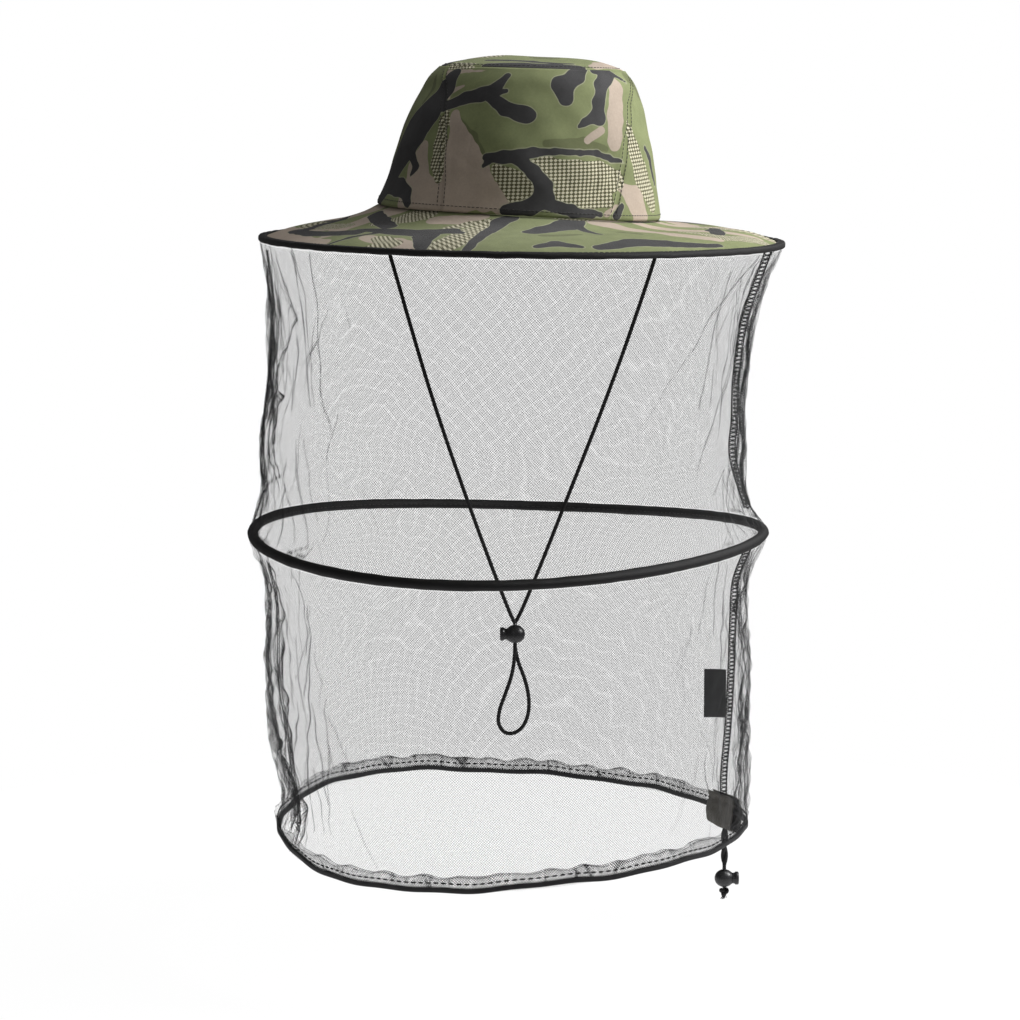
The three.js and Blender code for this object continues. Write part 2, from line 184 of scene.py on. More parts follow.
def smooth_path(points, step):
    """A centripetal Catmull-Rom curve through points, in steps of about one length."""
    p = np.array(points, float)
    p = np.vstack([2 * p[0] - p[1], p, 2 * p[-1] - p[-2]])
    knots = np.concatenate([[0], np.cumsum(np.sqrt(np.linalg.norm(np.diff(p, axis=0), axis=1)))])
    stretches = []
    for i in range(1, len(p) - 2):
        k0, k1, k2, k3 = knots[i - 1:i + 3]
        count = max(2, round(np.linalg.norm(p[i + 1] - p[i]) / step))
        t = np.linspace(k1, k2, count, endpoint=False)[:, None]
        a1 = (k1 - t) / (k1 - k0) * p[i - 1] + (t - k0) / (k1 - k0) * p[i]
        a2 = (k2 - t) / (k2 - k1) * p[i] + (t - k1) / (k2 - k1) * p[i + 1]
        a3 = (k3 - t) / (k3 - k2) * p[i + 1] + (t - k2) / (k3 - k2) * p[i + 2]
        b1 = (k2 - t) / (k2 - k0) * a1 + (t - k0) / (k2 - k0) * a2
        b2 = (k3 - t) / (k3 - k1) * a2 + (t - k1) / (k3 - k1) * a3
        stretches.append((k2 - t) / (k2 - k1) * b1 + (t - k1) / (k2 - k1) * b2)
    return np.vstack([*stretches, p[-2:-1]])


def distance_run(path):
    """The distance run along a path to each of its points."""
    steps = np.linalg.norm(np.diff(path, axis=0), axis=1)
    return np.concatenate([[0], np.cumsum(steps)])


def along_path(path, run, at):
    """Points at distances along a path, from the distance run to each of its own points."""
    return np.stack([np.interp(at, run, path[:, axis]) for axis in range(3)], axis=-1)


# ---------------------------------------------------------------- mesh helpers

def add_mesh(name, points, faces, finish, corner_uv=None, fields=None):
    """A smooth mesh object from points in millimetres. Its UVs are in millimetres too."""
    mesh = bpy.data.meshes.new(name)
    mesh.from_pydata((points.reshape(-1, 3) * MM).tolist(), [], faces)
    mesh.polygons.foreach_set("use_smooth", np.ones(len(faces), bool))
    if corner_uv is not None:
        mesh.uv_layers.new(name="Cloth").data.foreach_set("uv", corner_uv.astype(np.float32).ravel())
    for label, values in (fields or {}).items():
        attribute = mesh.attributes.new(label, "FLOAT", "POINT")
        attribute.data.foreach_set("value", np.asarray(values, np.float32).ravel())
    mesh.materials.append(finish)
    piece = bpy.data.objects.new(name, mesh)
    bpy.context.scene.collection.objects.link(piece)
    return piece


def grid_faces(rows, columns, closed):
    wide = columns if closed else columns - 1
    i = np.arange(rows - 1)[:, None] * columns
    j = np.arange(wide)[None, :]
    k = (j + 1) % columns
    return np.stack([i + j, i + k, i + columns + k, i + columns + j], axis=-1).reshape(-1, 4)


def corner_uv(left, right):
    """Each face's four corners, from the coordinates at its column's left and right.

    Both are arrays of (rows, faces wide, 2)."""
    return np.stack([left[:-1], right[:-1], right[1:], left[1:]], axis=2)


def sheet_uv(across, along):
    """Corner coordinates from growing coordinates across, one more than the columns of faces, and along."""
    u, v = np.meshgrid(across, along)
    both = np.stack([u, v], axis=-1)
    return corner_uv(both[:, :-1], both[:, 1:])


def add_grid(name, points, finish, closed=False, uv=None, fields=None):
    """A sheet from a grid of points. Its front is on the side where columns x rows points."""
    rows, columns = points.shape[:2]
    faces = grid_faces(rows, columns, closed).tolist()
    return add_mesh(name, points, faces, finish, uv, fields)


def path_frames(path, closed):
    """Two unit vectors across a path at each point, which turn with it as little as they can."""
    ahead = np.roll(path, -1, axis=0) - np.roll(path, 1, axis=0)
    if not closed:
        ahead[0] = path[1] - path[0]
        ahead[-1] = path[-1] - path[-2]
    ahead /= np.linalg.norm(ahead, axis=1)[:, None]
    start = np.array([0, 0, 1.0]) if abs(ahead[0, 2]) < 0.9 else np.array([1.0, 0, 0])
    side = start
    sides = []
    for direction in ahead:
        side = side - direction * (side @ direction)
        side = side / np.linalg.norm(side)
        sides.append(side)
    sides = np.array(sides)
    return sides, np.cross(ahead, sides)


def end_caps(count, sides):
    """Triangles from each end of a tube of count points to one of the two points that follow them."""
    first = [[count, (j + 1) % sides, j] for j in range(sides)]
    return first + [[count + 1, count - sides + j, count - sides + (j + 1) % sides] for j in range(sides)]


def tube_surface(path, radius, sides=12, closed=False, relief=None):
    """The points, faces and corner UVs of a tube round a path. relief(angle, along) scales its radius."""
    across, up = path_frames(path, closed)
    along = distance_run(path)
    angle = np.arange(sides) / sides * TURN
    reach = np.broadcast_to(radius, len(path))[:, None] * np.ones(sides)
    if relief is not None:
        reach = reach * relief(angle[None, :], along[:, None])
    spoke = np.cos(angle)[None, :, None] * across[:, None] + np.sin(angle)[None, :, None] * up[:, None]
    points = path[:, None] + reach[..., None] * spoke
    uv = sheet_uv(np.arange(sides + 1) / sides * TURN * np.mean(radius), along)
    faces = grid_faces(len(path), sides, True)
    if closed:
        last = (len(path) - 1) * sides
        j = np.arange(sides)
        k = (j + 1) % sides
        faces = np.vstack([faces, np.stack([last + j, last + k, k, j], axis=-1)])
        uv = np.concatenate([uv.reshape(-1, 4, 2), uv.reshape(-1, 4, 2)[:sides]])
        return points.reshape(-1, 3), faces.tolist(), uv
    count = len(path) * sides
    ends = np.vstack([path[:1], path[-1:]])
    all_uv = np.concatenate([uv.reshape(-1, 2), np.zeros((6 * sides, 2))])
    return np.vstack([points.reshape(-1, 3), ends]), faces.tolist() + end_caps(count, sides), all_uv


def add_tube(name, path, radius, finish, sides=12, closed=False, relief=None):
    points, faces, uv = tube_surface(path, radius, sides, closed, relief)
    return add_mesh(name, points, faces, finish, uv)


def add_joined(name, surfaces, finish):
    """One mesh object from several (points, faces) or (points, faces, uv) surfaces."""
    points, faces = [], []
    count = 0
    for surface in surfaces:
        points.append(surface[0].reshape(-1, 3))
        faces += [[index + count for index in face] for face in surface[1]]
        count += len(points[-1])
    return add_mesh(name, np.vstack(points), faces, finish)


def stitch_surfaces(path, length, gap, width):
    """Small rounded threads along a path, each one stitch long with a gap to the next."""
    along = distance_run(path)
    starts = np.arange(0, along[-1] - length, length + gap)
    shares = np.array([0, 0.15, 0.5, 0.85, 1])
    girth = np.array([0.35, 0.85, 1, 0.85, 0.35]) * width / 2
    surfaces = []
    for start in starts:
        at = start + shares * length
        stitch = along_path(path, along, at)
        surfaces.append(tube_surface(stitch, girth, sides=6)[:2])
    return surfaces


def thicken(piece, thickness):
    """Gives a sheet its thickness, away from its front."""
    solid = piece.modifiers.new("thickness", "SOLIDIFY")
    solid.thickness = thickness * MM
    solid.offset = -1
    solid.use_even_offset = True
    return piece


def finish_piece(piece, body, slot, *nodes):
    """Rides a piece on its body and hides the CAD nodes it stands for. The slot argument is not used."""
    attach(piece, body)
    if nodes:
        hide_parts(*nodes)
    return piece


# ---------------------------------------------------------------- material helpers

class Finish:
    """A node material in the making. Its methods return output sockets."""

    def __init__(self, name, roughness, sheen=0.0, specular=0.5):
        self.material = bpy.data.materials.new(name)
        self.material.use_nodes = True
        self.tree = self.material.node_tree
        self.shader = self.tree.nodes["Principled BSDF"]
        self.shader.inputs["Roughness"].default_value = roughness
        self.shader.inputs["Sheen Weight"].default_value = sheen
        self.shader.inputs["Sheen Roughness"].default_value = 0.5
        self.shader.inputs["Specular IOR Level"].default_value = specular

    def node(self, kind, settings=None, inputs=None):
        node = self.tree.nodes.new(kind)
        for key, value in (settings or {}).items():
            setattr(node, key, value)
        for key, value in (inputs or {}).items():
            if isinstance(value, bpy.types.NodeSocket):
                self.tree.links.new(value, node.inputs[key])
            else:
                node.inputs[key].default_value = value
        return node

    def math(self, operation, first, second=0.0, third=0.0, clamp=False):
        settings = {"operation": operation, "use_clamp": clamp}
        return self.node("ShaderNodeMath", settings, {0: first, 1: second, 2: third}).outputs[0]

    def mix(self, share, first, second):
        node = self.node("ShaderNodeMix", {"data_type": "RGBA"}, {0: share, 6: first, 7: second})
        return node.outputs[2]

    def field(self, label):
        return self.node("ShaderNodeAttribute", {"attribute_name": label}).outputs["Fac"]

    def cloth(self):
        """The across and along coordinates of the cloth, in millimetres."""
        uv = self.node("ShaderNodeUVMap", {"uv_map": "Cloth"}).outputs[0]
        parts = self.node("ShaderNodeSeparateXYZ", None, {0: uv})
        return parts.outputs[0], parts.outputs[1]

    def place(self, scale):
        """Coordinates in the piece's own space for noise of about scale features per metre."""
        place = self.node("ShaderNodeTexCoord").outputs["Object"]
        return self.node("ShaderNodeMapping", None, {0: place, 3: (scale, scale, scale)}).outputs[0]

    def noise(self, scale, detail=2.0):
        inputs = {"Vector": self.place(scale), "Scale": 1.0, "Detail": detail}
        return self.node("ShaderNodeTexNoise", None, inputs).outputs[0]

    def wave(self, across, along, slope, pitch):
        """A sine of -1 to 1 across lines that lean by slope, one pitch apart."""
        lean = self.math("ADD", across, self.math("MULTIPLY", along, slope))
        return self.math("SINE", self.math("MULTIPLY", lean, TURN / pitch))

    def set_bump(self, height, distance_mm, strength=1.0):
        node = self.node("ShaderNodeBump", None, {"Height": height})
        node.inputs["Strength"].default_value = strength
        node.inputs["Distance"].default_value = distance_mm * MM
        self.tree.links.new(node.outputs[0], self.shader.inputs["Normal"])

    def set_input(self, name, socket):
        self.tree.links.new(socket, self.shader.inputs[name])

    def speckle(self, color, depth, scale):
        """A colour that varies by a share of itself over noise."""
        dark = [channel * (1 - depth) for channel in color[:3]] + [1]
        light = [min(1, channel * (1 + depth)) for channel in color[:3]] + [1]
        share = self.math("MULTIPLY_ADD", self.noise(scale, 3.0), 2.2, -0.6, clamp=True)
        return self.mix(share, dark, light)


def twill(finish, pitch=0.85):
    """Twill lines and thread crossings as a bump height."""
    across, along = finish.cloth()
    rib = finish.wave(across, along, 1.0, pitch)
    thread = finish.wave(across, along, -6.0, pitch * 3)
    return finish.math("ADD", rib, finish.math("MULTIPLY", thread, 0.4))


GREEN = (0.20, 0.225, 0.105, 1)
DARK_GREEN = (0.135, 0.15, 0.07, 1)
TAN = (0.42, 0.345, 0.28, 1)
BLACK_PRINT = (0.045, 0.044, 0.045, 1)
DOT_GROUND = (0.10, 0.095, 0.05, 1)
DOT_CREAM = (0.60, 0.57, 0.42, 1)
OUTLINE = (0.42, 0.42, 0.30, 1)
DOT_PITCH = 2.9


def camouflage_finish():
    """Cotton twill printed in four colours: each colour's outline comes from a field of the mesh."""
    finish = Finish("camouflage_cotton", 0.85, sheen=0.06, specular=0.22)
    across, along = finish.cloth()
    inside = lambda label, soft=0.35: finish.math(
        "SUBTRACT", 0.5, finish.math("DIVIDE", finish.field(label), soft), clamp=True
    )
    color = finish.speckle(GREEN, 0.10, 90)
    color = finish.mix(inside("dark_green", 0.6), color, DARK_GREEN)
    tan = finish.speckle(TAN, 0.07, 60)
    color = finish.mix(inside("tan"), color, tan)
    rows = finish.wave(across, along, 0.08, DOT_PITCH)
    columns = finish.wave(along, across, -0.08, DOT_PITCH * 0.8)
    dot = finish.math("GREATER_THAN", finish.math("ADD", rows, columns), 0.15)
    halftone = finish.mix(dot, DOT_GROUND, DOT_CREAM)
    color = finish.mix(inside("dots", 0.5), color, halftone)
    rim = finish.math("SUBTRACT", 1.0, finish.math("DIVIDE", finish.field("black"), 0.8), clamp=True)
    color = finish.mix(finish.math("MULTIPLY", rim, 0.75), color, OUTLINE)
    color = finish.mix(inside("black"), color, finish.speckle(BLACK_PRINT, 0.2, 80))
    slub = finish.math("MULTIPLY_ADD", finish.noise(700, 2.0), 0.24, 0.88)
    shaded = finish.node("ShaderNodeVectorMath", {"operation": "SCALE"}, {0: color, 3: slub}).outputs[0]
    finish.set_input("Base Color", shaded)
    finish.set_bump(twill(finish), 0.06, 0.8)
    return finish.material


def woven_finish(name, color, roughness=0.85, sheen=0.25, pitch=0.9, depth=0.12):
    """Plain woven cloth or tape, with twill lines and a little unevenness."""
    finish = Finish(name, roughness, sheen, 0.3)
    finish.set_input("Base Color", finish.speckle(color, depth, 120))
    finish.set_bump(twill(finish, pitch), 0.07, 0.9)
    return finish.material


def net_finish(name, thread=0.074, pitch=1.25, gathered=0.62):
    """Knitted mesh of two sets of crossing threads, which thicken where the gather field says it folds."""
    finish = Finish(name, 0.7, sheen=0.05, specular=0.3)
    finish.set_input("Base Color", finish.speckle((0.012, 0.012, 0.013), 0.3, 200))
    across, along = finish.cloth()
    half = finish.math("MULTIPLY_ADD", finish.field("gather"), gathered, thread)
    wander = finish.math("MULTIPLY", finish.noise(35, 2.0), 2.5)
    strands = []
    for slope in (1.0, -1.0):
        lean = finish.math("ADD", finish.math("ADD", across, finish.math("MULTIPLY", along, slope)), wander)
        from_line = finish.math("PINGPONG", lean, pitch * 0.7071)
        strands.append(finish.math("LESS_THAN", from_line, finish.math("MULTIPLY", half, 1.4142)))
    finish.set_input("Alpha", finish.math("MAXIMUM", *strands))
    return finish.material


def cord_finish():
    finish = Finish("black_cord", 0.7, sheen=0.03, specular=0.35)
    finish.set_input("Base Color", finish.speckle((0.006, 0.0055, 0.006), 0.35, 900))
    across, along = finish.cloth()
    first = finish.wave(along, across, 1.6, 1.3)
    second = finish.wave(along, across, -1.6, 1.3)
    finish.set_bump(finish.math("MAXIMUM", first, second), 0.08, 0.8)
    return finish.material


def plastic_finish():
    finish = Finish("black_plastic", 0.38, specular=0.5)
    finish.set_input("Base Color", finish.speckle((0.016, 0.016, 0.018), 0.15, 300))
    wear = finish.math("MULTIPLY_ADD", finish.noise(900, 3.0), 0.25, 0.26)
    finish.set_input("Roughness", wear)
    finish.set_bump(finish.noise(2600, 2.0), 0.03, 0.5)
    return finish.material


def steel_finish():
    finish = Finish("spring_steel", 0.3)
    finish.shader.inputs["Metallic"].default_value = 1.0
    finish.set_input("Base Color", finish.speckle((0.45, 0.45, 0.46), 0.08, 400))
    finish.set_bump(finish.noise(1500, 2.0), 0.02, 0.4)
    return finish.material


def satin_finish():
    finish = Finish("label_satin", 0.42, sheen=0.15, specular=0.5)
    across, along = finish.cloth()
    finish.set_input("Base Color", finish.speckle((0.022, 0.022, 0.024), 0.12, 250))
    finish.set_bump(finish.wave(along, across, 0.0, 0.35), 0.03, 0.6)
    return finish.material


CAMOUFLAGE = camouflage_finish()
SWEATBAND = woven_finish("sweatband_cotton", (0.085, 0.092, 0.05), pitch=1.2)
TAPE = woven_finish("black_tape", (0.0045, 0.004, 0.0042), roughness=0.6, sheen=0.02, pitch=1.1)
PATCH = woven_finish("patch_cloth", (0.062, 0.055, 0.042), pitch=1.0)
THREAD = woven_finish("dark_thread", (0.022, 0.021, 0.019), pitch=0.5)
SATIN = satin_finish()
NET = net_finish("veil_mesh")
CORD = cord_finish()
PLASTIC = plastic_finish()
STEEL = steel_finish()


# ---------------------------------------------------------------- camera

CAMERA_PLACE = Vector((-0.0078, -1.95, 0.087))
CAMERA_PITCH = math.radians(8.42)
CAMERA_LENS = 103.2


def make_camera():
    data = bpy.data.cameras.new("camera")
    data.lens = CAMERA_LENS
    data.sensor_width = 36
    camera = bpy.data.objects.new("camera", data)
    camera.location = CAMERA_PLACE
    camera.rotation_euler = (math.pi / 2 - CAMERA_PITCH, 0, 0)
    bpy.context.scene.collection.objects.link(camera)
    bpy.context.scene.camera = camera


make_camera()


# ---------------------------------------------------------------- cords

CHIN_LOCK = np.array([-4.4, 0, -286.7])
LEG_END = CHIN_LOCK[2] + LOCK_RADIUS + 1
CHIN_LEGS = {
    "chin_cord_left": [
        (-93.1, 0, -6.9),
        (-92.4, 0, -12),
        (-81.1, 0, -53),
        (-61.4, 0, -120.7),
        (-41.4, 0, -181),
        (-21.3, -0.6, -237),
        (-8.2, -TAIL_SPACING, -271),
        (CHIN_LOCK[0], -TAIL_SPACING, LEG_END),
    ],
    "chin_cord_right": [
        (91.2, 0, -20.4),
        (90.4, 0, -25.6),
        (72.4, 0, -81.9),
        (52.6, 0, -136.9),
        (32.5, 0, -189),
        (12.5, 0.6, -240.4),
        (-0.6, TAIL_SPACING, -272),
        (CHIN_LOCK[0], TAIL_SPACING, LEG_END),
    ],
}
LOOP_TOP = LEG_END - 1
CHIN_LOOP = [
    (CHIN_LOCK[0], -TAIL_SPACING, LOOP_TOP),
    (CHIN_LOCK[0], -TAIL_SPACING, -286.7),
    (CHIN_LOCK[0], -TAIL_SPACING, -295),
    (-5, -1.3, -305),
    (-7, -1.2, -316),
    (-11, -1, -328),
    (-15, -0.6, -340),
    (-15.4, 0, -349),
    (-11.2, 0, -354.9),
    (-5, 0, -355.3),
    (1, 0, -350.6),
    (4.6, 0.3, -341.5),
    (4.8, 0.7, -330),
    (2, 1, -317.5),
    (-2.2, 1.3, -306),
    (CHIN_LOCK[0], TAIL_SPACING, -295),
    (CHIN_LOCK[0], TAIL_SPACING, -286.7),
    (CHIN_LOCK[0], TAIL_SPACING, LOOP_TOP),
]


def braid(angle, along):
    """The relief of a round braid: two sets of strands that wind opposite ways."""
    strands = 4
    lay = 5.5
    first = np.abs(np.sin(strands * angle / 2 + along * TURN / lay))
    second = np.abs(np.sin(strands * angle / 2 - along * TURN / lay))
    return 1.08 + 0.14 * np.maximum(first, second)


def add_cord(name, route, step=0.7):
    path = smooth_path(route, step)
    return add_tube(name, path, CORD_RADIUS, CORD, sides=12, relief=braid), path


def make_chin_cord():
    for name, route in CHIN_LEGS.items():
        piece, path = add_cord(name, route)
        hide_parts(name)
        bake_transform(piece)
    piece, path = add_cord("chin_cord_loop", CHIN_LOOP)
    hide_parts("chin_cord_loop")
    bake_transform(piece)


RING_SIDES = 30
EXIT_RADIUS = HEM_RADIUS * math.cos(math.pi / RING_SIDES)
DRAWCORD_Z = HEM_Z + 2.4
HEM_STITCH_Z = DRAWCORD_Z + 5
HEM_LOCK_Z = -472
KNOT_TOP = HEM_LOCK_Z - LOCK_RADIUS - 0.5
EXIT_HALF = 8
EXIT_POINT = hang(polar(CORD_EXIT, EXIT_RADIUS, DRAWCORD_Z))


def tail_route(side):
    """One tail's points. The two tails turn once round each other between the patch and the lock."""
    def beside(distance, drop):
        azimuth = CORD_EXIT + side * math.degrees(math.atan2(distance, EXIT_RADIUS))
        return hang(polar(azimuth, math.hypot(EXIT_RADIUS, distance), DRAWCORD_Z - drop))

    def below(z, turned=0.0):
        angle = turned * TURN
        x = EXIT_POINT[0] + side * TAIL_SPACING * math.sin(angle)
        return (x, EXIT_POINT[1] + side * TAIL_SPACING * math.cos(angle), z)

    twist_top, twist_bottom = EXIT_POINT[2] - 14, HEM_LOCK_Z + 10
    twist = [below(twist_top + (twist_bottom - twist_top) * share, share) for share in np.linspace(0, 1, 9)]
    return [
        beside(EXIT_HALF - 0.3, 0),
        beside(5, 0.7),
        beside(2.6, 3.4),
        beside(TAIL_SPACING + 0.1, 7.5),
        *twist,
        below(HEM_LOCK_Z),
        below(KNOT_TOP + 0.3),
    ]


def make_tails():
    for name, side in (("hem_cord_tail_front", -1), ("hem_cord_tail_back", 1)):
        piece, path = add_cord(name, tail_route(side), step=0.5)
        finish_piece(piece, "hem", "black_cord", name)


def knot_route():
    """The two tails tied in one overhand knot: a trefoil squeezed small."""
    t = np.linspace(0, TURN, 90, endpoint=False)
    size = 1.25
    x = size * (np.sin(t) + 1.6 * np.sin(2 * t))
    y = size * (np.cos(t) - 1.6 * np.cos(2 * t))
    z = size * 1.2 * -np.sin(3 * t)
    return np.stack([x, z * 1.1, y], axis=-1)


def make_knot():
    centre = np.array([EXIT_POINT[0], EXIT_POINT[1], KNOT_TOP - 3])
    knot = tube_surface(knot_route() * 0.75 + centre, CORD_RADIUS, sides=10, closed=True, relief=braid)
    surfaces = [knot[:2]]
    rng = np.random.default_rng(5)
    for _ in range(26):
        spread = rng.normal(0, 0.75, 2)
        drop = rng.uniform(2.2, 3.4)
        start = centre + (spread[0] * 0.6, spread[1] * 0.6, -2.2)
        end = start + (spread[0], spread[1], -drop)
        strand = smooth_path([start, (start + end) / 2 + (0.2, 0, 0), end], 0.8)
        surfaces.append(tube_surface(strand, 0.16, 5)[:2])
    tied = add_joined("hem_cord_knot_tied", surfaces, CORD)
    return finish_piece(tied, "hem", "black_cord", "hem_cord_knot")


make_chin_cord()


# ---------------------------------------------------------------- ball cord locks

PLUNGER_RADIUS = 3.8
BUTTON_FACE = 10.2
BUTTON_UNDERSIDE = 7.5


def turned_x(profile, sides=40):
    """A surface turned about X from (x, radius) pairs, closed at its ends."""
    x, radius = np.array(profile, float).T
    angle = np.arange(sides) / sides * TURN
    points = np.stack(
        [
            np.broadcast_to(x[:, None], (len(x), sides)),
            radius[:, None] * np.cos(angle),
            radius[:, None] * np.sin(angle),
        ],
        axis=-1,
    )
    faces = grid_faces(len(x), sides, True).tolist() + end_caps(len(x) * sides, sides)
    ends = np.array([[x[0], 0, 0], [x[-1], 0, 0]])
    return np.vstack([points.reshape(-1, 3), ends]), faces


def face_out(piece):
    """Turns a closed mesh's faces outwards."""
    shape = bmesh.new()
    shape.from_mesh(piece.data)
    bmesh.ops.recalc_face_normals(shape, faces=shape.faces)
    shape.to_mesh(piece.data)
    shape.free()


def cut(piece, cutters):
    """Subtracts cutters from a piece and deletes them."""
    face_out(piece)
    for cutter in cutters:
        face_out(cutter)
        change = piece.modifiers.new("cut", "BOOLEAN")
        change.operation = "DIFFERENCE"
        change.solver = "EXACT"
        change.object = cutter
        bpy.context.view_layer.objects.active = piece
        bpy.ops.object.modifier_apply(modifier=change.name)
        bpy.data.objects.remove(cutter)
    return piece


def box_surface(size, centre=(0, 0, 0)):
    corner = np.array([(x, y, z) for x in (-1, 1) for y in (-1, 1) for z in (-1, 1)]) / 2
    faces = [[0, 1, 3, 2], [4, 6, 7, 5], [0, 4, 5, 1], [2, 3, 7, 6], [0, 2, 6, 4], [1, 5, 7, 3]]
    return corner * np.array(size) + np.array(centre), faces


def lock_body(name):
    """A moulded ball with a collar where the button goes in and a hole through it for the cord."""
    stretch = 1.08
    profile = []
    for angle in np.linspace(np.pi, 0.72, 26):
        seam = 0.12 * bump(angle - np.pi / 2, 0.05)
        profile.append((LOCK_RADIUS * stretch * np.cos(angle), (LOCK_RADIUS + seam) * np.sin(angle) + 1e-3))
    collar = PLUNGER_RADIUS + 0.25
    profile += [(5.35, collar + 0.25), (5.4, collar)]
    body = add_mesh(name, *turned_x(profile + [(4.9, collar - 0.02)]), PLASTIC)
    bore = add_mesh("bore", *turned_x([(-3.9, collar - 0.1), (7, collar - 0.1)]), PLASTIC)
    hole = add_mesh("hole", *box_surface((2 * CORD_RADIUS + 0.7, 4 * CORD_RADIUS + 1, 30)), PLASTIC)
    cut(body, [bore, hole])
    soften = body.modifiers.new("soft edges", "BEVEL")
    soften.width = 0.25 * MM
    soften.segments = 2
    soften.limit_method = "ANGLE"
    return body


def lock_button(name):
    """A plunger with a ridged round head. The cord slot goes through its stem."""
    head = 4.6
    profile = [(-2.0, PLUNGER_RADIUS), (BUTTON_UNDERSIDE - 0.9, PLUNGER_RADIUS)]
    profile += [(BUTTON_UNDERSIDE, head - 0.5), (BUTTON_UNDERSIDE + 0.4, head), (BUTTON_FACE - 0.7, head)]
    profile += [(BUTTON_FACE - 0.2, head - 0.3), (BUTTON_FACE, head - 0.8)]
    for ring in (3.0, 2.0, 1.0):
        profile += [(BUTTON_FACE, ring + 0.35), (BUTTON_FACE - 0.25, ring), (BUTTON_FACE, ring - 0.35)]
    button = add_mesh(name, *turned_x(profile), PLASTIC)
    slot_length = 2 * (CORD_RADIUS + 0.3) + 2
    slot_centre = (slot_length / 2 - CORD_RADIUS - 0.3, 0, 0)
    slot = add_mesh("slot", *box_surface((slot_length, 4 * CORD_RADIUS + 0.9, 20), slot_centre), PLASTIC)
    cut(button, [slot])
    return button


def make_lock(prefix, centre, facing):
    pieces = []
    for part, make in (("body", lock_body), ("button", lock_button)):
        piece = make(f"{prefix}_{part}_moulded")
        points = np.array([vertex.co for vertex in piece.data.vertices])
        points[:, 0] *= facing
        points[:, 1] *= facing
        piece.data.vertices.foreach_set("co", (points + np.array(centre) * MM).ravel())
        piece.data.update()
        body = prefix if part == "body" else f"{prefix}_button"
        pieces.append(finish_piece(piece, body, "black_plastic", f"{prefix}_{part}"))
    return pieces


hem_lock_pieces = make_lock("hem_lock", (EXIT_POINT[0], EXIT_POINT[1], HEM_LOCK_Z), 1)
make_lock("chin_lock", CHIN_LOCK, -1)
hem_lock_pieces.append(make_knot())
make_tails()


# ---------------------------------------------------------------- the print on the hat

# Each printed shape is a chain of (azimuth, height up the cloth, half width). On the brim and the crown's
# top the second number is the radius.
SIDE_BLACK = [
    [(-50, 91, 6), (-51, 80, 8), (-56, 65, 12), (-65, 48, 16), (-73, 27, 13), (-79, 5, 13)],
    [(-52, 60, 3), (-53, 52, 1.8), (-54, 46, 0.5)],
    [(-58, 52, 2.4), (-60, 43, 1.4), (-61, 34, 0.6)],
    [(-74, 12, 5), (-61, 12, 5.4), (-53, 8, 3.6), (-50, 3, 2.4)],
    [(-60, 34, 4), (-54, 26, 2.4), (-56, 20, 1.6)],
    [(-46, 68, 3.6), (-35, 75, 4.2), (-25, 78, 4.6), (-18, 84, 3.2), (-14, 92, 2.3)],
    [(-19, 79, 2.4), (-13, 81, 1.6)],
    [(-21, 77, 4), (-12, 69, 4.4), (-4, 66, 5.4), (-1, 65, 5.6)],
    [(34, 104, 4), (25, 93, 5.4), (16, 86, 6.6), (18, 77, 5)],
    [(50, 97, 6), (40, 87, 4.6), (36, 75, 4.4), (35, 66, 5.4), (27, 62, 2.4), (24, 59, 0.9)],
    [(39, 98, 2.4), (55, 96, 1.8), (65, 90, 1.2)],
    [(-17, 36, 2.6), (-10, 37, 4), (-3, 38, 4.4), (3, 41, 2.9), (12, 42, 2), (24, 42, 1.7), (33, 42, 1.7),
     (40, 39, 2), (48, 37, 0.8)],
    [(-18, 30, 1.4), (-16, 33, 1.8)],
    [(-4, 36, 3.8), (3, 29, 4.2), (8, 20, 5.4), (8, 12, 6.6), (3, 6, 5), (-7, 3, 3.4)],
    [(10, 8, 4), (20, 5, 3.6), (29, 3, 2.4)],
    [(68, 46, 2), (73, 38, 3.2), (76, 24, 2.4)],
    [(44, 9, 2.6), (41, 3, 3)],
    [(27, 5, 2), (33, 4, 1.6)],
]
SIDE_TAN = [
    [(-52, 40, 4), (-53, 26, 10), (-50, 11, 13), (-34, 6, 10), (-12, 12, 8), (-8, 5, 6)],
    [(-38, 63, 3.6), (-33, 50, 6.4), (-27, 38, 9), (-23, 24, 13), (-16, 11, 10)],
    [(-35, 42, 5.4), (-33, 25, 7.1), (-29, 9, 7.1)],
    [(-56, 93, 3), (-39, 95, 1.4), (-24, 96, 0.4)],
    [(-46, 79, 2.4), (-38, 83, 0.8)],
    [(-51, 87, 1.8), (-45, 74, 1.2)],
    [(52, 86, 7), (46, 66, 7), (43, 50, 6)],
    [(36, 57, 2.6), (28, 50, 2.5)],
    [(45, 21, 3.4), (54, 13, 9.5), (57, 3, 9)],
    [(36, 4, 2.2), (42, 10, 0.8)],
    [(-88, 70, 3), (-92, 52, 5), (-86, 40, 3)],
]
SIDE_DOTS = [
    [(-43, 67, 2), (-43, 57, 4), (-42, 43, 5.4), (-41, 30, 5.4), (-38, 19, 3)],
    [(-58, 98, 2.2), (-47, 99, 1.9), (-38, 99, 1.2)],
    [(-12, 28, 4), (-6, 22, 7.4), (-3, 14, 7)],
    [(-2, 33, 1.8), (9, 31, 7.5), (21, 26, 11), (33, 25, 12), (43, 26, 6.5)],
    [(15, 14, 7), (27, 14, 7), (36, 13, 5.4)],
    [(-1, 21, 7), (1, 16, 5.4)],
    [(54, 62, 1.6), (57, 44, 7), (61, 29, 9.5), (69, 12, 7)],
]
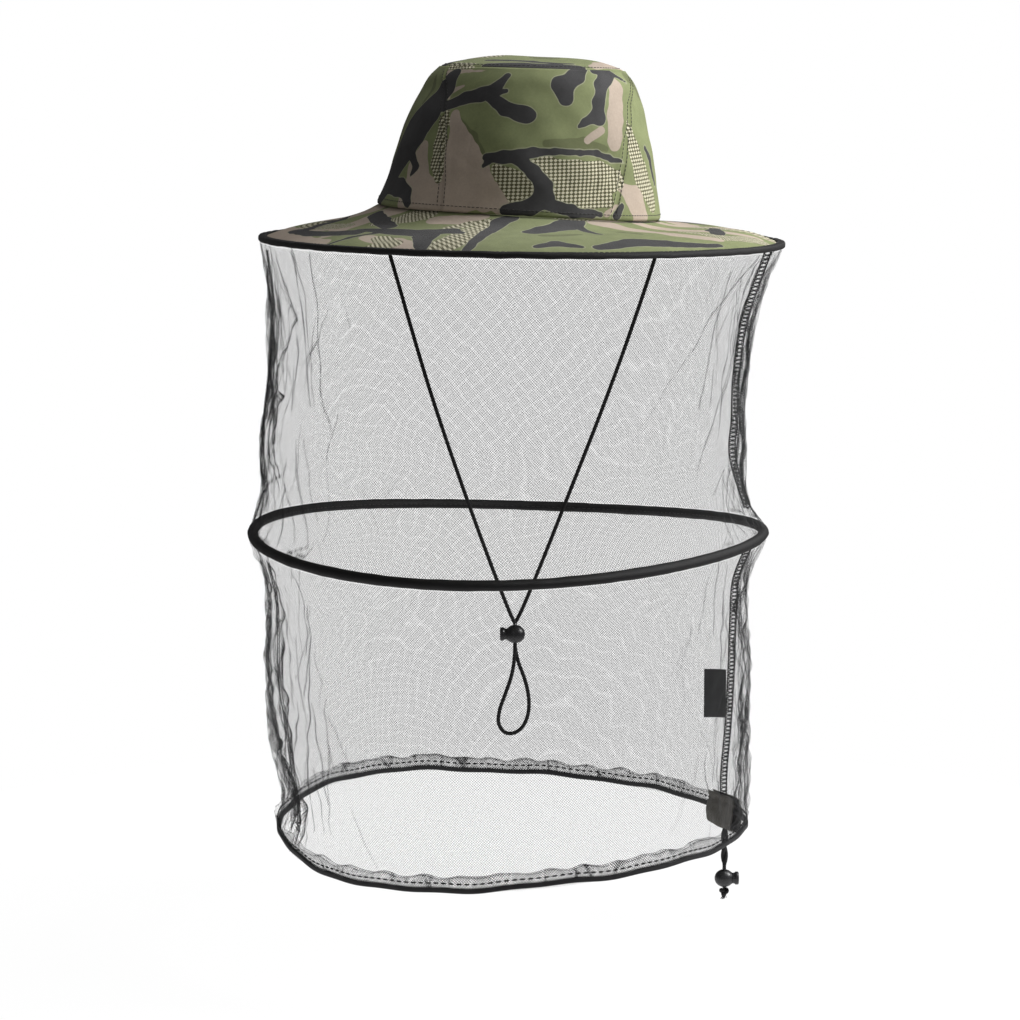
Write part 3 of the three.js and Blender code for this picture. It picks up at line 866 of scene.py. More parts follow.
SIDE_DARK_GREEN = [
    [(-34, 59, 2.4), (-26, 48, 4), (-20, 39, 3)],
    [(-69, 91, 1.3), (-65, 80, 2.1), (-67, 70, 1.4)],
    [(-32, 11, 2.6), (-31, 7, 1.2)],
    [(8, 47, 2.5), (26, 48, 4), (38, 45, 2)],
]
TOP_BLACK = [
    [(-30, 58, 3.6), (-8, 56, 5.4), (14, 56, 5.4), (32, 58, 3.6)],
    [(-40, 46, 2), (0, 44, 3), (30, 50, 2)],
]
TOP_TAN = [[(44, 56, 3.5), (60, 52, 6), (85, 52, 8), (95, 56, 5)], [(-80, 30, 8), (-100, 46, 7)]]
TOP_DOTS = [[(-62, 58, 4), (-44, 58, 3.6)], [(-60, 30, 7), (-90, 24, 8)], [(150, 30, 10), (190, 40, 9)]]
TOP_DARK_GREEN = [[(10, 24, 7), (60, 14, 6)]]
BRIM_BLACK = [
    [(-50, 136, 3), (-38, 132, 7), (-28, 131, 10), (-22, 126, 9), (-17, 132, 3)],
    [(-25, 142, 9), (-22, 166, 4)],
    [(-40, 134, 2.4), (-45, 154, 2), (-47, 168, 1.2)],
    [(-78, 152, 5), (-62, 152, 6), (-48, 142, 7)],
    [(-66, 104, 5), (-54, 112, 6), (-44, 122, 6)],
    [(-88, 128, 3.6), (-80, 118, 2.4)],
    [(-4, 93, 4.4), (-8, 100, 5), (-10, 124, 4.4), (-12, 168, 3)],
    [(3, 120, 6.5), (8, 110, 7), (16, 101, 8), (21, 92, 8)],
    [(20, 100, 4.4), (23, 126, 2)],
    [(3, 160, 2.6), (8, 153, 5), (13, 159, 2.6)],
    [(17, 160, 4), (26, 153, 7), (36, 156, 5.4), (50, 162, 3)],
    [(62, 142, 5), (70, 133, 6), (80, 128, 3)],
]
BRIM_TAN = [
    [(-54, 93, 7), (-63, 106, 10), (-60, 130, 10), (-54, 152, 5)],
    [(-72, 94, 6), (-84, 108, 9), (-94, 126, 9)],
    [(-88, 160, 10), (-68, 164, 9), (-50, 166, 7)],
    [(-41, 150, 5), (-32, 156, 9), (-24, 164, 8)],
    [(-32, 104, 6), (-22, 101, 6), (-14, 94, 3)],
    [(28, 94, 3), (37, 99, 6.4), (42, 112, 8), (45, 134, 7.6), (54, 152, 5)],
    [(54, 94, 6), (60, 110, 9), (66, 132, 9), (74, 158, 6)],
    [(76, 94, 6), (86, 112, 10), (92, 140, 12), (84, 162, 9)],
]
BRIM_DOTS = [
    [(-51, 118, 6), (-44, 104, 9), (-37, 98, 5)],
    [(-88, 138, 9), (-74, 138, 10), (-62, 130, 8)],
    [(-36, 150, 7), (-31, 160, 8), (-34, 168, 6)],
    [(-18, 162, 10), (-15, 146, 11), (-14, 120, 9), (-13, 104, 4)],
    [(-23, 116, 5), (-18, 106, 4), (-12, 98, 2)],
    [(56, 124, 4), (58, 150, 6), (72, 164, 6)],
]
BRIM_DARK_GREEN = [[(6, 132, 4), (16, 126, 3.4)], [(32, 118, 3.4), (34, 132, 3)]]


def scattered(seed, count, azimuths, heights, width):
    """Seeded wandering chains for the parts of the hat away from the front."""
    rng = np.random.default_rng(seed)
    shapes = []
    for _ in range(count):
        azimuth = rng.uniform(*azimuths)
        height = rng.uniform(*heights)
        heading = rng.uniform(0, TURN)
        shape = []
        for _ in range(rng.integers(3, 7)):
            shape.append((azimuth, height, width * rng.uniform(0.5, 1.35)))
            heading += rng.uniform(-0.9, 0.9)
            azimuth += 8 * math.cos(heading)
            height += 10 * math.sin(heading)
        shapes.append(shape)
    return shapes


def from_stretch(azimuth, height, reach, start, end):
    """How far along a stretch of a chain its nearest place to each point is, and the distance to it."""
    x0 = np.radians(apart(start[0], azimuth)) * reach
    y0 = start[1] - height
    dx = np.radians(end[0] - start[0]) * reach
    dy = end[1] - start[1]
    t = np.clip(-(x0 * dx + y0 * dy) / (dx * dx + dy * dy), 0, 1)
    return t, np.hypot(x0 + t * dx, y0 + t * dy)


def outline(azimuth, height, reach, shapes):
    """The distance of each point from the nearest shape's edge, less than nothing inside.

    reach is the radius at each point, which turns azimuths into lengths."""
    nearest = np.full(azimuth.shape, 50.0)
    for shape in shapes:
        joined = np.full(azimuth.shape, 50.0)
        for start, end in zip(shape[:-1], shape[1:]):
            t, distance = from_stretch(azimuth, height, reach, start, end)
            distance = distance - (start[2] + t * (end[2] - start[2]))
            blend = np.clip(0.5 + 0.5 * (joined - distance) / 2.5, 0, 1)
            joined = joined + blend * (distance - joined) - 2.5 * blend * (1 - blend)
        nearest = np.minimum(nearest, joined)
    return nearest


def print_fields(azimuth, height, reach, black, tan, dots, dark_green, wobble):
    """The print's fields on a piece, with a little unevenness along each edge."""
    shapes = {"black": black, "tan": tan, "dots": dots, "dark_green": dark_green}
    return {label: outline(azimuth, height, reach, chains) + wobble for label, chains in shapes.items()}


# ---------------------------------------------------------------- crown

# The crown's panel seams: azimuths at growing lengths up the cloth. They lean, so the front panel widens
# upwards.
SEAM_RUNS = [0, 26, 52, 76, 98]
SEAM_AZIMUTHS = [
    [-33, -36.8, -41.5, -49, -62],
    [38, 45, 51, 61, 80],
    [142, 136, 130, 122, 112],
    [218, 224, 230, 238, 250],
]
PANEL_COLUMNS = (140, 60, 140, 60)
CROWN_SHEAR = 0.045
# Soft creases of the crown's cloth: chains of (azimuth, length up the cloth, depth)
CROWN_CREASES = [
    [(-26, 30, 0.3), (-26, 52, 0.8), (-25, 78, 0.3)],
    [(31, 46, 0.4), (33, 34, 1.5), (31, 20, 1.2), (26, 8, 0.7)],
    [(41, 30, 1.4), (35, 18, 1.3), (28, 6, 0.8)],
    [(-33, 38, 0.4), (-24, 30, 0.7), (-12, 24, 0.2)],
    [(-52, 34, 0.4), (-44, 22, 0.8), (-34, 16, 0.3)],
    [(16, 30, 0.3), (20, 16, 0.8), (12, 7, 0.3)],
    [(60, 60, 0.3), (64, 34, 0.8), (60, 10, 0.4)],
    [(120, 70, 0.3), (126, 40, 0.9), (122, 8, 0.4)],
    [(170, 40, 0.3), (176, 24, 0.8), (190, 8, 0.3)],
    [(250, 60, 0.3), (244, 36, 0.8), (250, 10, 0.4)],
]
SIDE_SCALE = 1.45
HEIGHT_STEP = 1.45


def line_by_length(line, step):
    """Radii and heights along a line at even steps, with the distance run."""
    radius, z = np.array(line, float).T
    run = np.concatenate([[0], np.cumsum(np.hypot(np.diff(radius), np.diff(z)))])
    at = np.linspace(0, run[-1], round(run[-1] / step) + 1)
    pairs = lambda values: np.stack([values, run], axis=-1)
    return eased(pairs(radius), at), eased(pairs(z), at), at


def seam_azimuths(run):
    """The azimuths of the four seams at each length up the cloth, with the first again a turn later."""
    seams = [np.interp(run, SEAM_RUNS, azimuths) for azimuths in SEAM_AZIMUTHS]
    return np.stack([*seams, seams[0] + 360], axis=-1)


def seam_distance(azimuth, reach, run):
    """Distance round the crown from each point to the nearest panel seam."""
    gaps = np.abs(apart(azimuth[..., None], seam_azimuths(run)))
    return np.radians(gaps.min(axis=-1)) * reach


def crown_surface(azimuth, radius, z, run, proud=0.0):
    """Points of the crown's side: creased at the seams, flared and turned in at the foot, with soft folds."""
    reach = np.broadcast_to(radius, azimuth.shape)
    place = polar(azimuth, reach, z)
    near_seam = seam_distance(azimuth, reach, run)
    foot = np.clip((2.4 - run) / 2.4, 0, 1)
    flare = bump(apart(azimuth, -62), 42) * np.clip((26 - run) / 26, 0, 1) ** 2
    soft = 0.9 * ripple(place, 70, 11) + 0.4 * ripple(place, 24, 12)
    creases, _ = crease_effects(azimuth, run, CROWN_CREASES, 85)
    inward = 0.9 * bump(near_seam, 0.9) - 0.5 * bump(near_seam - 3, 2.2)
    inward += 1.0 * foot ** 2 - 6.0 * flare + creases
    inward -= soft * np.clip(run / 20, 0, 1) * np.clip((96 - run) / 12, 0, 1) * 0.8
    height = z - 2.6 * flare + CROWN_SHEAR * (place[..., 0] - SHEAR_MIDDLE) * run / CROWN_RUN
    return tilt(polar(azimuth, reach - inward + proud, height))


def make_crown_side():
    radius, z, run = line_by_length(CROWN_LINE, HEIGHT_STEP)
    seams = seam_azimuths(run)
    azimuths, lefts, rights = [], [], []
    for panel, columns in enumerate(PANEL_COLUMNS):
        start, end = seams[:, panel], seams[:, panel + 1]
        across = start[:, None] + (end - start)[:, None] * np.arange(columns + 1) / columns
        cloth = np.radians(across - ((start + end) / 2)[:, None]) * radius[:, None]
        azimuths.append(across[:, :-1])
        lefts.append(cloth[:, :-1])
        rights.append(cloth[:, 1:])
    azimuth = np.hstack(azimuths)
    grid_run = np.repeat(run[:, None], azimuth.shape[1], axis=1)
    reach = np.repeat(radius[:, None], azimuth.shape[1], axis=1)
    points = crown_surface(azimuth, reach, z[:, None], grid_run)
    left, right = [np.stack([np.hstack(side), grid_run], axis=-1) for side in (lefts, rights)]
    away = (82, 268)
    fields = print_fields(
        azimuth, grid_run, reach,
        SIDE_BLACK + scattered(31, 13, away, (8, 90), 4.2),
        SIDE_TAN + scattered(32, 9, away, (5, 92), 8),
        SIDE_DOTS + scattered(33, 7, away, (5, 85), 8.5),
        SIDE_DARK_GREEN + scattered(34, 8, away, (5, 92), 5),
        0.35 * ripple(points, 9, 21),
    )
    side = add_grid("crown_side_cloth", points, CAMOUFLAGE, True, corner_uv(left, right), fields)
    thicken(side, CLOTH_THICKNESS)
    nodes = [f"crown_{side_name}_panel" for side_name in ("front", "right", "back", "left")]
    finish_piece(side, "hat", "camouflage_cotton", *nodes)
    make_crown_stitches(radius, z, run)


def make_crown_stitches(radius, z, run):
    """Topstitching beside each panel seam and above the foot."""
    surfaces = []
    at = np.arange(5, 96, 1.0)
    reach = np.interp(at, run, radius)
    height = np.interp(at, run, z)
    for seam in range(4):
        for side in (-1, 1):
            azimuth = seam_azimuths(at)[:, seam] + side * np.degrees(2.4 / reach)
            surfaces += stitch_surfaces(crown_surface(azimuth, reach, height, at, 0.12), *HAT_STITCH)
    around = np.arange(0, 360, 0.5)
    rise = np.full(around.shape, 3.6)
    reach = np.interp(rise, run, radius)
    path = crown_surface(around, reach, np.interp(rise, run, z), rise, 0.12)
    surfaces += stitch_surfaces(path, *HAT_STITCH)
    stitches = add_joined("crown_topstitching", surfaces, THREAD)
    finish_piece(stitches, "hat", "camouflage_cotton")


def top_surface(azimuth, radius, z):
    """Points of the crown's top, which leans back to level."""
    flat = polar(azimuth, radius, 0)
    lift = 0.5 * ripple(flat, 55, 14) * np.clip((58 - radius) / 12, 0, 1)
    height = z + lift + CROWN_SHEAR * (flat[..., 0] - SHEAR_MIDDLE)
    return tilt(polar(azimuth, radius, height))


def make_crown_top():
    radius, z, _ = line_by_length(TOP_LINE, 1.5)
    radius[0] = 0.4
    columns = 240
    azimuth = np.arange(columns) / columns * 360
    grid_azimuth, grid_radius = np.meshgrid(azimuth, radius[::-1])
    turned_in = np.clip((grid_radius - 59) / 1.6, 0, 1) ** 2
    points = top_surface(grid_azimuth, grid_radius, z[::-1, None] - 0.9 * turned_in)
    corners = np.radians(np.append(azimuth, 360))[None, :]
    cloth = np.stack([np.sin(corners) * radius[::-1, None], -np.cos(corners) * radius[::-1, None]], axis=-1)
    fields = print_fields(
        grid_azimuth, grid_radius, grid_radius,
        TOP_BLACK + scattered(41, 4, (100, 280), (20, 55), 5),
        TOP_TAN + scattered(42, 3, (100, 280), (20, 55), 8),
        TOP_DOTS, TOP_DARK_GREEN, 0.3 * ripple(polar(grid_azimuth, grid_radius, 0), 9, 22),
    )
    uv = corner_uv(cloth[:, :-1], cloth[:, 1:])
    top = add_grid("crown_top_cloth", points, CAMOUFLAGE, True, uv, fields)
    thicken(top, CLOTH_THICKNESS)
    finish_piece(top, "hat", "camouflage_cotton", "crown_top_panel")
    around = np.arange(0, 360, 1.0)
    ring = top_surface(around, np.full(around.shape, 57.4), np.full(around.shape, 94.85))
    stitches = add_joined("crown_top_stitching", stitch_surfaces(ring, *HAT_STITCH), THREAD)
    finish_piece(stitches, "hat", "camouflage_cotton")


def make_sweatband():
    columns = 260
    azimuth = np.arange(columns) / columns * 360
    share = np.linspace(0, 1, 22)
    grid_azimuth, grid_share = np.meshgrid(azimuth, share)
    radius = 90.6 + (83.8 - 90.6) * grid_share
    place = polar(grid_azimuth, radius, 0.8 + 27 * grid_share)
    radius += 0.35 * ripple(place, 30, 15) - 0.3 * bump(grid_share - 1, 0.05)
    points = tilt(polar(grid_azimuth, radius, 0.8 + 27 * grid_share))
    uv = sheet_uv(np.append(azimuth, 360) * SIDE_SCALE, share * 28)
    band = thicken(add_grid("sweatband_cloth", points, SWEATBAND, True, uv), 0.6)
    finish_piece(band, "hat", "sweatband_cotton", "sweatband")


def make_chin_tabs():
    """Tape folded double round each end of the chin cord and stitched under the seam."""
    for name in ("chin_anchor_left", "chin_anchor_right"):
        low, high = box_mm(name)
        centre = (low + high) / 2
        share = np.linspace(0, 1, 25)
        height = (high[2] - low[2]) - 0.4
        bend = np.abs(2 * share - 1)
        z = low[2] + 0.3 + height * bend ** 1.15
        x = centre[0] + np.sign(share - 0.5) * 0.42 * np.minimum(1, 3 * (1 - np.abs(1 - bend)) + 0.6)
        across = np.linspace(-4.4, 4.4, 12)
        points = np.stack(
            [
                np.broadcast_to(x[:, None], (25, 12)),
                np.broadcast_to(across[None, :] + centre[1], (25, 12)),
                np.broadcast_to(z[:, None], (25, 12)),
            ],
            axis=-1,
        )
        uv = sheet_uv(across, share * 2 * height)
        tab = thicken(add_grid(f"{name}_tape", points, TAPE, False, uv), 0.4)
        finish_piece(tab, "hat", "black_tape", name)


# ---------------------------------------------------------------- brim

def level_out(points, radius):
    """The brim leans with the crown at its inner edge and is nearly level at its outer edge."""
    share = np.clip((radius - BRIM_LINE[0][0]) / (BRIM_LINE[-1][0] - BRIM_LINE[0][0]), 0, 1)
    return dip(tilt(points, CROWN_TILT * (1 - share) ** 3), share)


def make_brim_ply(name, node, drop, shapes_seed, front_shapes):
    """One cloth of the brim, a drop below the brim's upper face."""
    radius = np.linspace(BRIM_LINE[0][0], BRIM_LINE[-1][0], 50)
    line = [(z, r) for r, z in BRIM_LINE]
    z = eased(line, radius) - drop
    columns = 440
    azimuth = np.arange(columns) / columns * 360
    grid_azimuth, grid_radius = np.meshgrid(azimuth, radius)
    flat = polar(grid_azimuth, grid_radius, 0)
    calm = np.clip((grid_radius - 96) / 20, 0, 1) * np.clip((169 - grid_radius) / 12, 0, 1)
    lift = 0.5 * ripple(flat, 60, 16) * calm
    upright = polar(grid_azimuth, grid_radius, z[:, None] + lift)
    points = level_out(upright, grid_radius)
    corners = np.append(azimuth, 360)
    away = (85, 275)
    u = np.sin(np.radians(corners))[None, :] * radius[:, None]
    v = -np.cos(np.radians(corners))[None, :] * radius[:, None]
    cloth = np.stack([u, v], axis=-1)
    extra = [scattered(shapes_seed + i, count, away, (98, 166), width)
             for i, (count, width) in enumerate(((14, 6), (10, 10), (8, 11), (8, 7)))]
    fields = print_fields(
        grid_azimuth, grid_radius, grid_radius,
        *[front + more for front, more in zip(front_shapes, extra)], 0.4 * ripple(flat, 10, 23),
    )
    if drop:
        points = points[::-1]
        cloth = cloth[::-1]
        fields = {label: values[::-1] for label, values in fields.items()}
    uv = corner_uv(cloth[:, :-1], cloth[:, 1:])
    ply = add_grid(name, points[::-1], CAMOUFLAGE, True, uv[::-1], {k: f[::-1] for k, f in fields.items()})
    thicken(ply, 0.5)
    finish_piece(ply, "hat", "camouflage_cotton", node)


def ring_band(radius_of, z_of, section, columns, settle, wobble=None):
    """Points of a closed band: a section of (outward, up) points carried round a ring."""
    azimuth = np.arange(columns) / columns * 360
    out, up = np.array(section, float).T
    grid_azimuth = np.broadcast_to(azimuth[:, None], (columns, len(out)))
    radius = radius_of + out[None, :] + np.zeros_like(grid_azimuth)
    z = z_of + up[None, :] + np.zeros_like(grid_azimuth)
    points = polar(grid_azimuth, radius, z)
    if wobble is not None:
        points = points + wobble(points)
    return settle(points)


def closed_band(name, points, finish, section_length, ring_length):
    """A mesh from points round a ring, whose section is closed too."""
    rings, sides = points.shape[:2]
    i = np.arange(rings)[:, None]
    j = np.arange(sides)[None, :]
    k = (j + 1) % sides
    n = (i + 1) % rings
    faces = np.stack([i * sides + j, i * sides + k, n * sides + k, n * sides + j], axis=-1).reshape(-1, 4)
    u0 = j / sides * section_length + 0 * i
    v0 = i / rings * ring_length + 0 * j
    du = section_length / sides
    dv = ring_length / rings
    uv = np.stack(
        [
            np.stack([u0, v0], -1), np.stack([u0 + du, v0], -1),
            np.stack([u0 + du, v0 + dv], -1), np.stack([u0, v0 + dv], -1),
        ],
        axis=2,
    )
    return add_mesh(name, points.reshape(-1, 3), faces.tolist(), finish, uv.reshape(-1, 2))


def round_section(radius, sides):
    angle = np.arange(sides) / sides * TURN
    return np.stack([radius * np.cos(angle), radius * np.sin(angle)], axis=-1)


def make_binding():
    """Twill tape folded over the brim's edge: a flattened loop, rounder at the outside."""
    angle = np.arange(28) / 28 * TURN
    depth, height = 3.1, 2.1
    square = 0.62
    out = -3.3 + depth * np.sign(np.cos(angle)) * np.abs(np.cos(angle)) ** square
    up = height * np.sign(np.sin(angle)) * np.abs(np.sin(angle)) ** square
    section = np.stack([out, up], axis=-1)
    pucker = lambda points: np.stack(
        [0 * points[..., 0], 0 * points[..., 0], 0.16 * ripple(points, 14, 17)], axis=-1
    )
    points = ring_band(BRIM_RADIUS - 0.2, BRIM_Z, section, 520, dip, pucker)
    band = closed_band("brim_binding_tape", points, TAPE, 19, TURN * BRIM_RADIUS)
    finish_piece(band, "hat", "black_tape", "brim_edge_binding")
    surfaces = []
    for up in (1.95, -1.95):
        ring = dip(polar(np.arange(0, 360, 0.5), BRIM_RADIUS - 5.2, BRIM_Z + up))
        surfaces += stitch_surfaces(ring, 2.4, 1, 0.45)
    stitches = add_joined("brim_binding_stitching", surfaces, THREAD)
    finish_piece(stitches, "hat", "black_tape")


def make_wire_rings():
    """The spring wires inside the brim's edge and the hoop."""
    for name, radius, z, wire, body, settle in (
        ("brim_edge_wire", BRIM_RADIUS - 2.5, BRIM_Z, 0.6, "hat", dip),
        ("hoop_wire", HOOP_RADIUS - 3.5, HOOP_Z, 1.0, "hoop", hang),
    ):
        points = ring_band(radius, z, round_section(wire, 10), 240, settle)
        ring = closed_band(f"{name}_drawn", points, STEEL, TURN * wire, TURN * radius)
        finish_piece(ring, body, "spring_steel", name)


# ---------------------------------------------------------------- hoop

def make_hoop():
    """Smooth tape sewn into a tube round the wire, with its seam at the inside."""
    radius = 3.5

    def wobble(points):
        grow = 0.10 * ripple(points, 12, 18) + 0.08 * ripple(points, 40, 19)
        azimuth = np.arctan2(points[..., 0], -points[..., 1])
        centre = polar(np.degrees(azimuth), HOOP_RADIUS - radius, HOOP_Z)
        out = points - centre
        return out * (grow / radius)[..., None]

    points = ring_band(HOOP_RADIUS - radius, HOOP_Z, round_section(radius, 20), 480, hang, wobble)
    tube = closed_band("hoop_casing_tape", points, TAPE, TURN * radius, TURN * HOOP_RADIUS)
    finish_piece(tube, "hoop", "black_tape", "hoop_casing")
    ring = hang(polar(np.arange(0, 360, 0.5), HOOP_RADIUS - 2 * radius - 0.05, HOOP_Z))
    stitches = add_joined("hoop_casing_stitching", stitch_surfaces(ring, 2.6, 1.2, 0.45), THREAD)
    finish_piece(stitches, "hoop", "black_tape")


# ---------------------------------------------------------------- nets

# Creases: chains of (azimuth, height, depth). Each is drawn inwards by its depth.
UPPER_CREASES = [
    [(-67, -24, 2), (-59, -67, 3), (-66, -90, 3), (-72, -106, 5), (-76, -122, 7)],
    [(-113, -30, 2), (-118, -70, 3), (-120, -100, 3), (-124, -145, 1)],
    [(-58, -24, 1.5), (-55, -80, 2), (-50, -119, 1)],
    [(-50, -24, 1), (-49, -85, 1.6), (-46, -120, 1.6), (-42, -134, 0.6)],
    [(-40, -54, 0.6), (-38, -66, 0.6)],
    [(-41, -122, 1), (-43, -150, 0.6)],
    [(-76, -122, 7), (-72, -150, 5), (-64, -170, 3), (-84, -190, 2)],
    [(-99, -28, 3), (-96, -80, 4), (-95, -126, 6), (-98, -165, 3), (-107, -200, 1)],
    [(-88, -40, 3), (-82, -80, 4), (-80, -120, 5), (-86, -160, 3)],
    [(61, -25, 3), (48, -60, 3), (44, -80, 2.6), (37, -103, 2), (30, -133, 1.4), (27, -144, 0.5)],
    [(58, -112, 2), (53, -138, 2), (49, -164, 1)],
    [(63, -168, 2), (56, -182, 1)],
    [(118, -45, 2), (120, -86, 2.4), (124, -143, 1)],
    [(71, -24, 3), (70, -65, 4), (73, -117, 5), (74, -173, 4), (80, -200, 2)],
    [(97, -27, 3), (99, -72, 4), (97, -125, 5), (98, -181, 4), (95, -205, 2)],
    [(84, -30, 2), (82, -90, 4), (86, -150, 4), (84, -200, 2)],
    [(170, -60, 0.7), (163, -120, 0.7)],
    [(20, -160, 0.6), (12, -205, 0.6)],
]
LOWER_CREASES = [
    [(-67, -226, 3), (-70, -256, 5), (-68, -304, 7), (-64, -321, 8), (-63, -350, 8), (-62, -385, 8),
     (-66, -412, 7)],
    [(-78, -226, 3), (-86, -282, 5), (-84, -333, 6), (-84, -367, 7), (-76, -400, 7)],
    [(-96, -240, 3), (-100, -274, 4), (-102, -329, 4), (-104, -370, 5), (-100, -408, 5)],
    [(-52, -248, 1), (-51, -320, 2), (-55, -395, 3)],
    [(-115, -250, 1.4), (-119, -323, 1)],
    [(-53, -226, 1), (-53, -279, 1)],
    [(-50, -309, 1), (-47, -340, 1.6), (-46, -372, 1)],
    [(69, -226, 2), (75, -256, 4), (76, -296, 5), (76, -349, 5), (74, -400, 4)],
    [(96, -234, 3), (95, -265, 4), (94, -305, 4), (94, -357, 4), (97, -408, 4)],
    [(115, -232, 1), (116, -300, 1.2)],
    [(86, -240, 2), (84, -300, 4), (88, -360, 4), (86, -408, 3)],
    [(-72, -300, 4), (-66, -340, 6), (-72, -380, 7), (-68, -415, 7)],
    [(-90, -330, 4), (-80, -372, 6), (-74, -410, 6)],
    [(150, -300, 0.5), (158, -390, 0.5)],
]
GATHERS = [(-80, 24), (88, 22)]
# Where the gathered sides fall in further: azimuth, height, depth, half width in degrees, half height
UPPER_PULLS = [(94, -70, 8, 34, 42), (94, -130, 4, 30, 40), (-84, -60, 3, 26, 42)]
LOWER_PULLS = [(-80, -320, 2, 26, 60), (-80, -390, 5, 22, 30)]


def net_azimuths(fine=0.74, coarse=4.0):
    """Azimuths round the net, close together at the two gathered sides."""
    sample = np.linspace(-180, 180, 7201)
    reach = math.radians(1) * NET_RADIUS
    near = sum(bump(apart(sample, middle), half * 2.0) for middle, half in GATHERS)
    density = reach / coarse + (reach / fine - reach / coarse) * np.clip(1.5 * near, 0, 1)
    total = np.concatenate([[0], np.cumsum((density[1:] + density[:-1]) / 2 * np.diff(sample))])
    return np.interp(np.linspace(0, total[-1], round(total[-1]) + 1)[:-1], total, sample)


def crease_effects(azimuth, height, creases, reach=NET_RADIUS, line=0.55):
    """How far creases draw cloth inwards, and how dense they make it look along their lines."""
    inward = np.zeros(azimuth.shape)
    dense = np.zeros(azimuth.shape)
    for crease in creases:
        nearest = np.full(azimuth.shape, 60.0)
        depth = np.zeros(azimuth.shape)
        for start, end in zip(crease[:-1], crease[1:]):
            t, distance = from_stretch(azimuth, height, reach, start, end)
            depth = np.where(distance < nearest, start[2] + t * (end[2] - start[2]), depth)
            nearest = np.minimum(distance, nearest)
        inward += depth * (0.4 * bump(nearest, 1.4 + 0.15 * depth) + 0.25 * bump(nearest, 6))
        dense = np.maximum(dense, np.clip(0.22 + depth * 0.17, 0, 1) * bump(nearest, line))
    return inward, dense


def scattered_creases(seed, low, high):
    """Seeded sharp creases: mostly upright, many at the gathered sides and a few long faint ones between."""
    rng = np.random.default_rng(seed)
    creases = []
    for i in range(240):
        middle, spread = GATHERS[i % 2]
        gathered = i < 214
        azimuth = rng.normal(middle, spread * 0.62) if gathered else rng.uniform(-180, 180)
        height = rng.uniform(low + 6, high - 6)
        heading = rng.normal(0, 0.22)
        depth = rng.uniform(0.2, 1.9) if gathered else rng.uniform(0.05, 0.2)
        crease = [(azimuth, height, 0.2 * depth)]
        for share in (1.0, 0.7, 0.1)[: rng.integers(2, 4)]:
            run = rng.uniform(8, 26)
            heading += rng.normal(0, 0.16)
            azimuth += math.degrees(run * math.sin(heading) / NET_RADIUS)
            height = max(low + 2, height - run * math.cos(heading))
            crease.append((azimuth, height, share * depth))
        creases.append(crease)
    return creases


def net_points(azimuth, line, heights, creases, pulls, seed):
    """The hanging net's points, and how gathered it is at each."""
    z, a = np.meshgrid(heights, azimuth, indexing="ij")
    radius = eased(line, z)
    place = polar(a, radius, z)
    ends = np.clip((heights.max() - z) / 16, 0, 1) * np.clip((z - heights.min()) / 16, 0, 1)
    sides = sum(bump(apart(a, middle), half) for middle, half in GATHERS)
    drift = 0.22 * ripple(place * (1, 1, 0.4), 60, seed)
    pleats = np.zeros(a.shape)
    for share, (waves, lean) in enumerate(((96, 0.9), (131, -1.3), (173, 0.6))):
        pleats += np.sin(np.radians(a) * waves + z / 40 * lean + drift * 9 + share) / 3
    wander = ripple(place * (1, 1, 0.35), 26, seed + 1)
    crumple = ripple(place, 17, seed + 2)
    fine = ripple(place * (1, 1, 0.5), 6, seed + 7)
    creases = creases + scattered_creases(seed + 8, heights.min(), heights.max())
    inward, dense = crease_effects(a + 0.5 * ripple(place, 26, seed + 3), z, creases)
    move = -inward * (0.3 + 0.7 * ends)
    for middle, height, depth, half_turn, half_height in pulls:
        move -= depth * bump(apart(a, middle), half_turn) * bump(z - height, half_height) * ends
    move += sides * (0.5 + 0.5 * ends) * (1.1 * pleats + 1.1 * wander + 0.8 * crumple + 0.4 * fine - 0.8)
    move += ends * (0.9 * ripple(place * (1, 1, 0.5), 90, seed + 4) + 0.3 * crumple)
    finely_meshed = sum(bump(apart(a, middle), half * 1.8) for middle, half in GATHERS)
    return hang(polar(a, radius + move, z)), dense * np.clip(1.6 * finely_meshed - 0.1, 0, 1)


def make_net(name, line, creases, pulls, seed, body):
    heights = np.linspace(line[0][1], line[-1][1], 104)
    azimuth = net_azimuths()
    points, dense = net_points(azimuth, line, heights, creases, pulls, seed)
    uv = sheet_uv(np.append(azimuth, azimuth[0] + 360) * math.radians(1) * NET_RADIUS, heights)
    net = add_grid(f"{name}_sheet", points, NET, True, uv, {"gather": dense})
    finish_piece(net, body, "veil_mesh", f"{name}_front", f"{name}_back")
    squash_net(net)


def squash_net(piece):
    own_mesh(piece)


def overlock(path, standing, thread, width=2.3, pitch=5.6):
    """An overlocked seam: threads looped to and fro across it, between two chained edges."""
    outward = path * (1, 1, 0) / np.linalg.norm(path[:, :2], axis=1)[:, None]
    tangent = np.cross(outward, (0, 0, -1.0))
    across, up = (outward, tangent) if standing else (tangent, outward)
    along = distance_run(path)
    at = np.arange(0, along[-1], pitch / 9)
    centre, side, over = [along_path(values, along, at) for values in (path, across, up)]
    surfaces = []
    for start in (0, 0.5):
        swing = (at / pitch + start) * TURN
        loop = centre + side * (width * np.sin(swing))[:, None] + over * (0.9 * np.cos(swing))[:, None]
        surfaces.append(tube_surface(loop, thread, sides=5)[:2])
    for edge in (-1, 1):
        chain = centre + side * (edge * width + 0.25 * np.sin(at * TURN / 2.1))[:, None]
        surfaces.append(tube_surface(chain, thread, sides=6)[:2])
    return surfaces


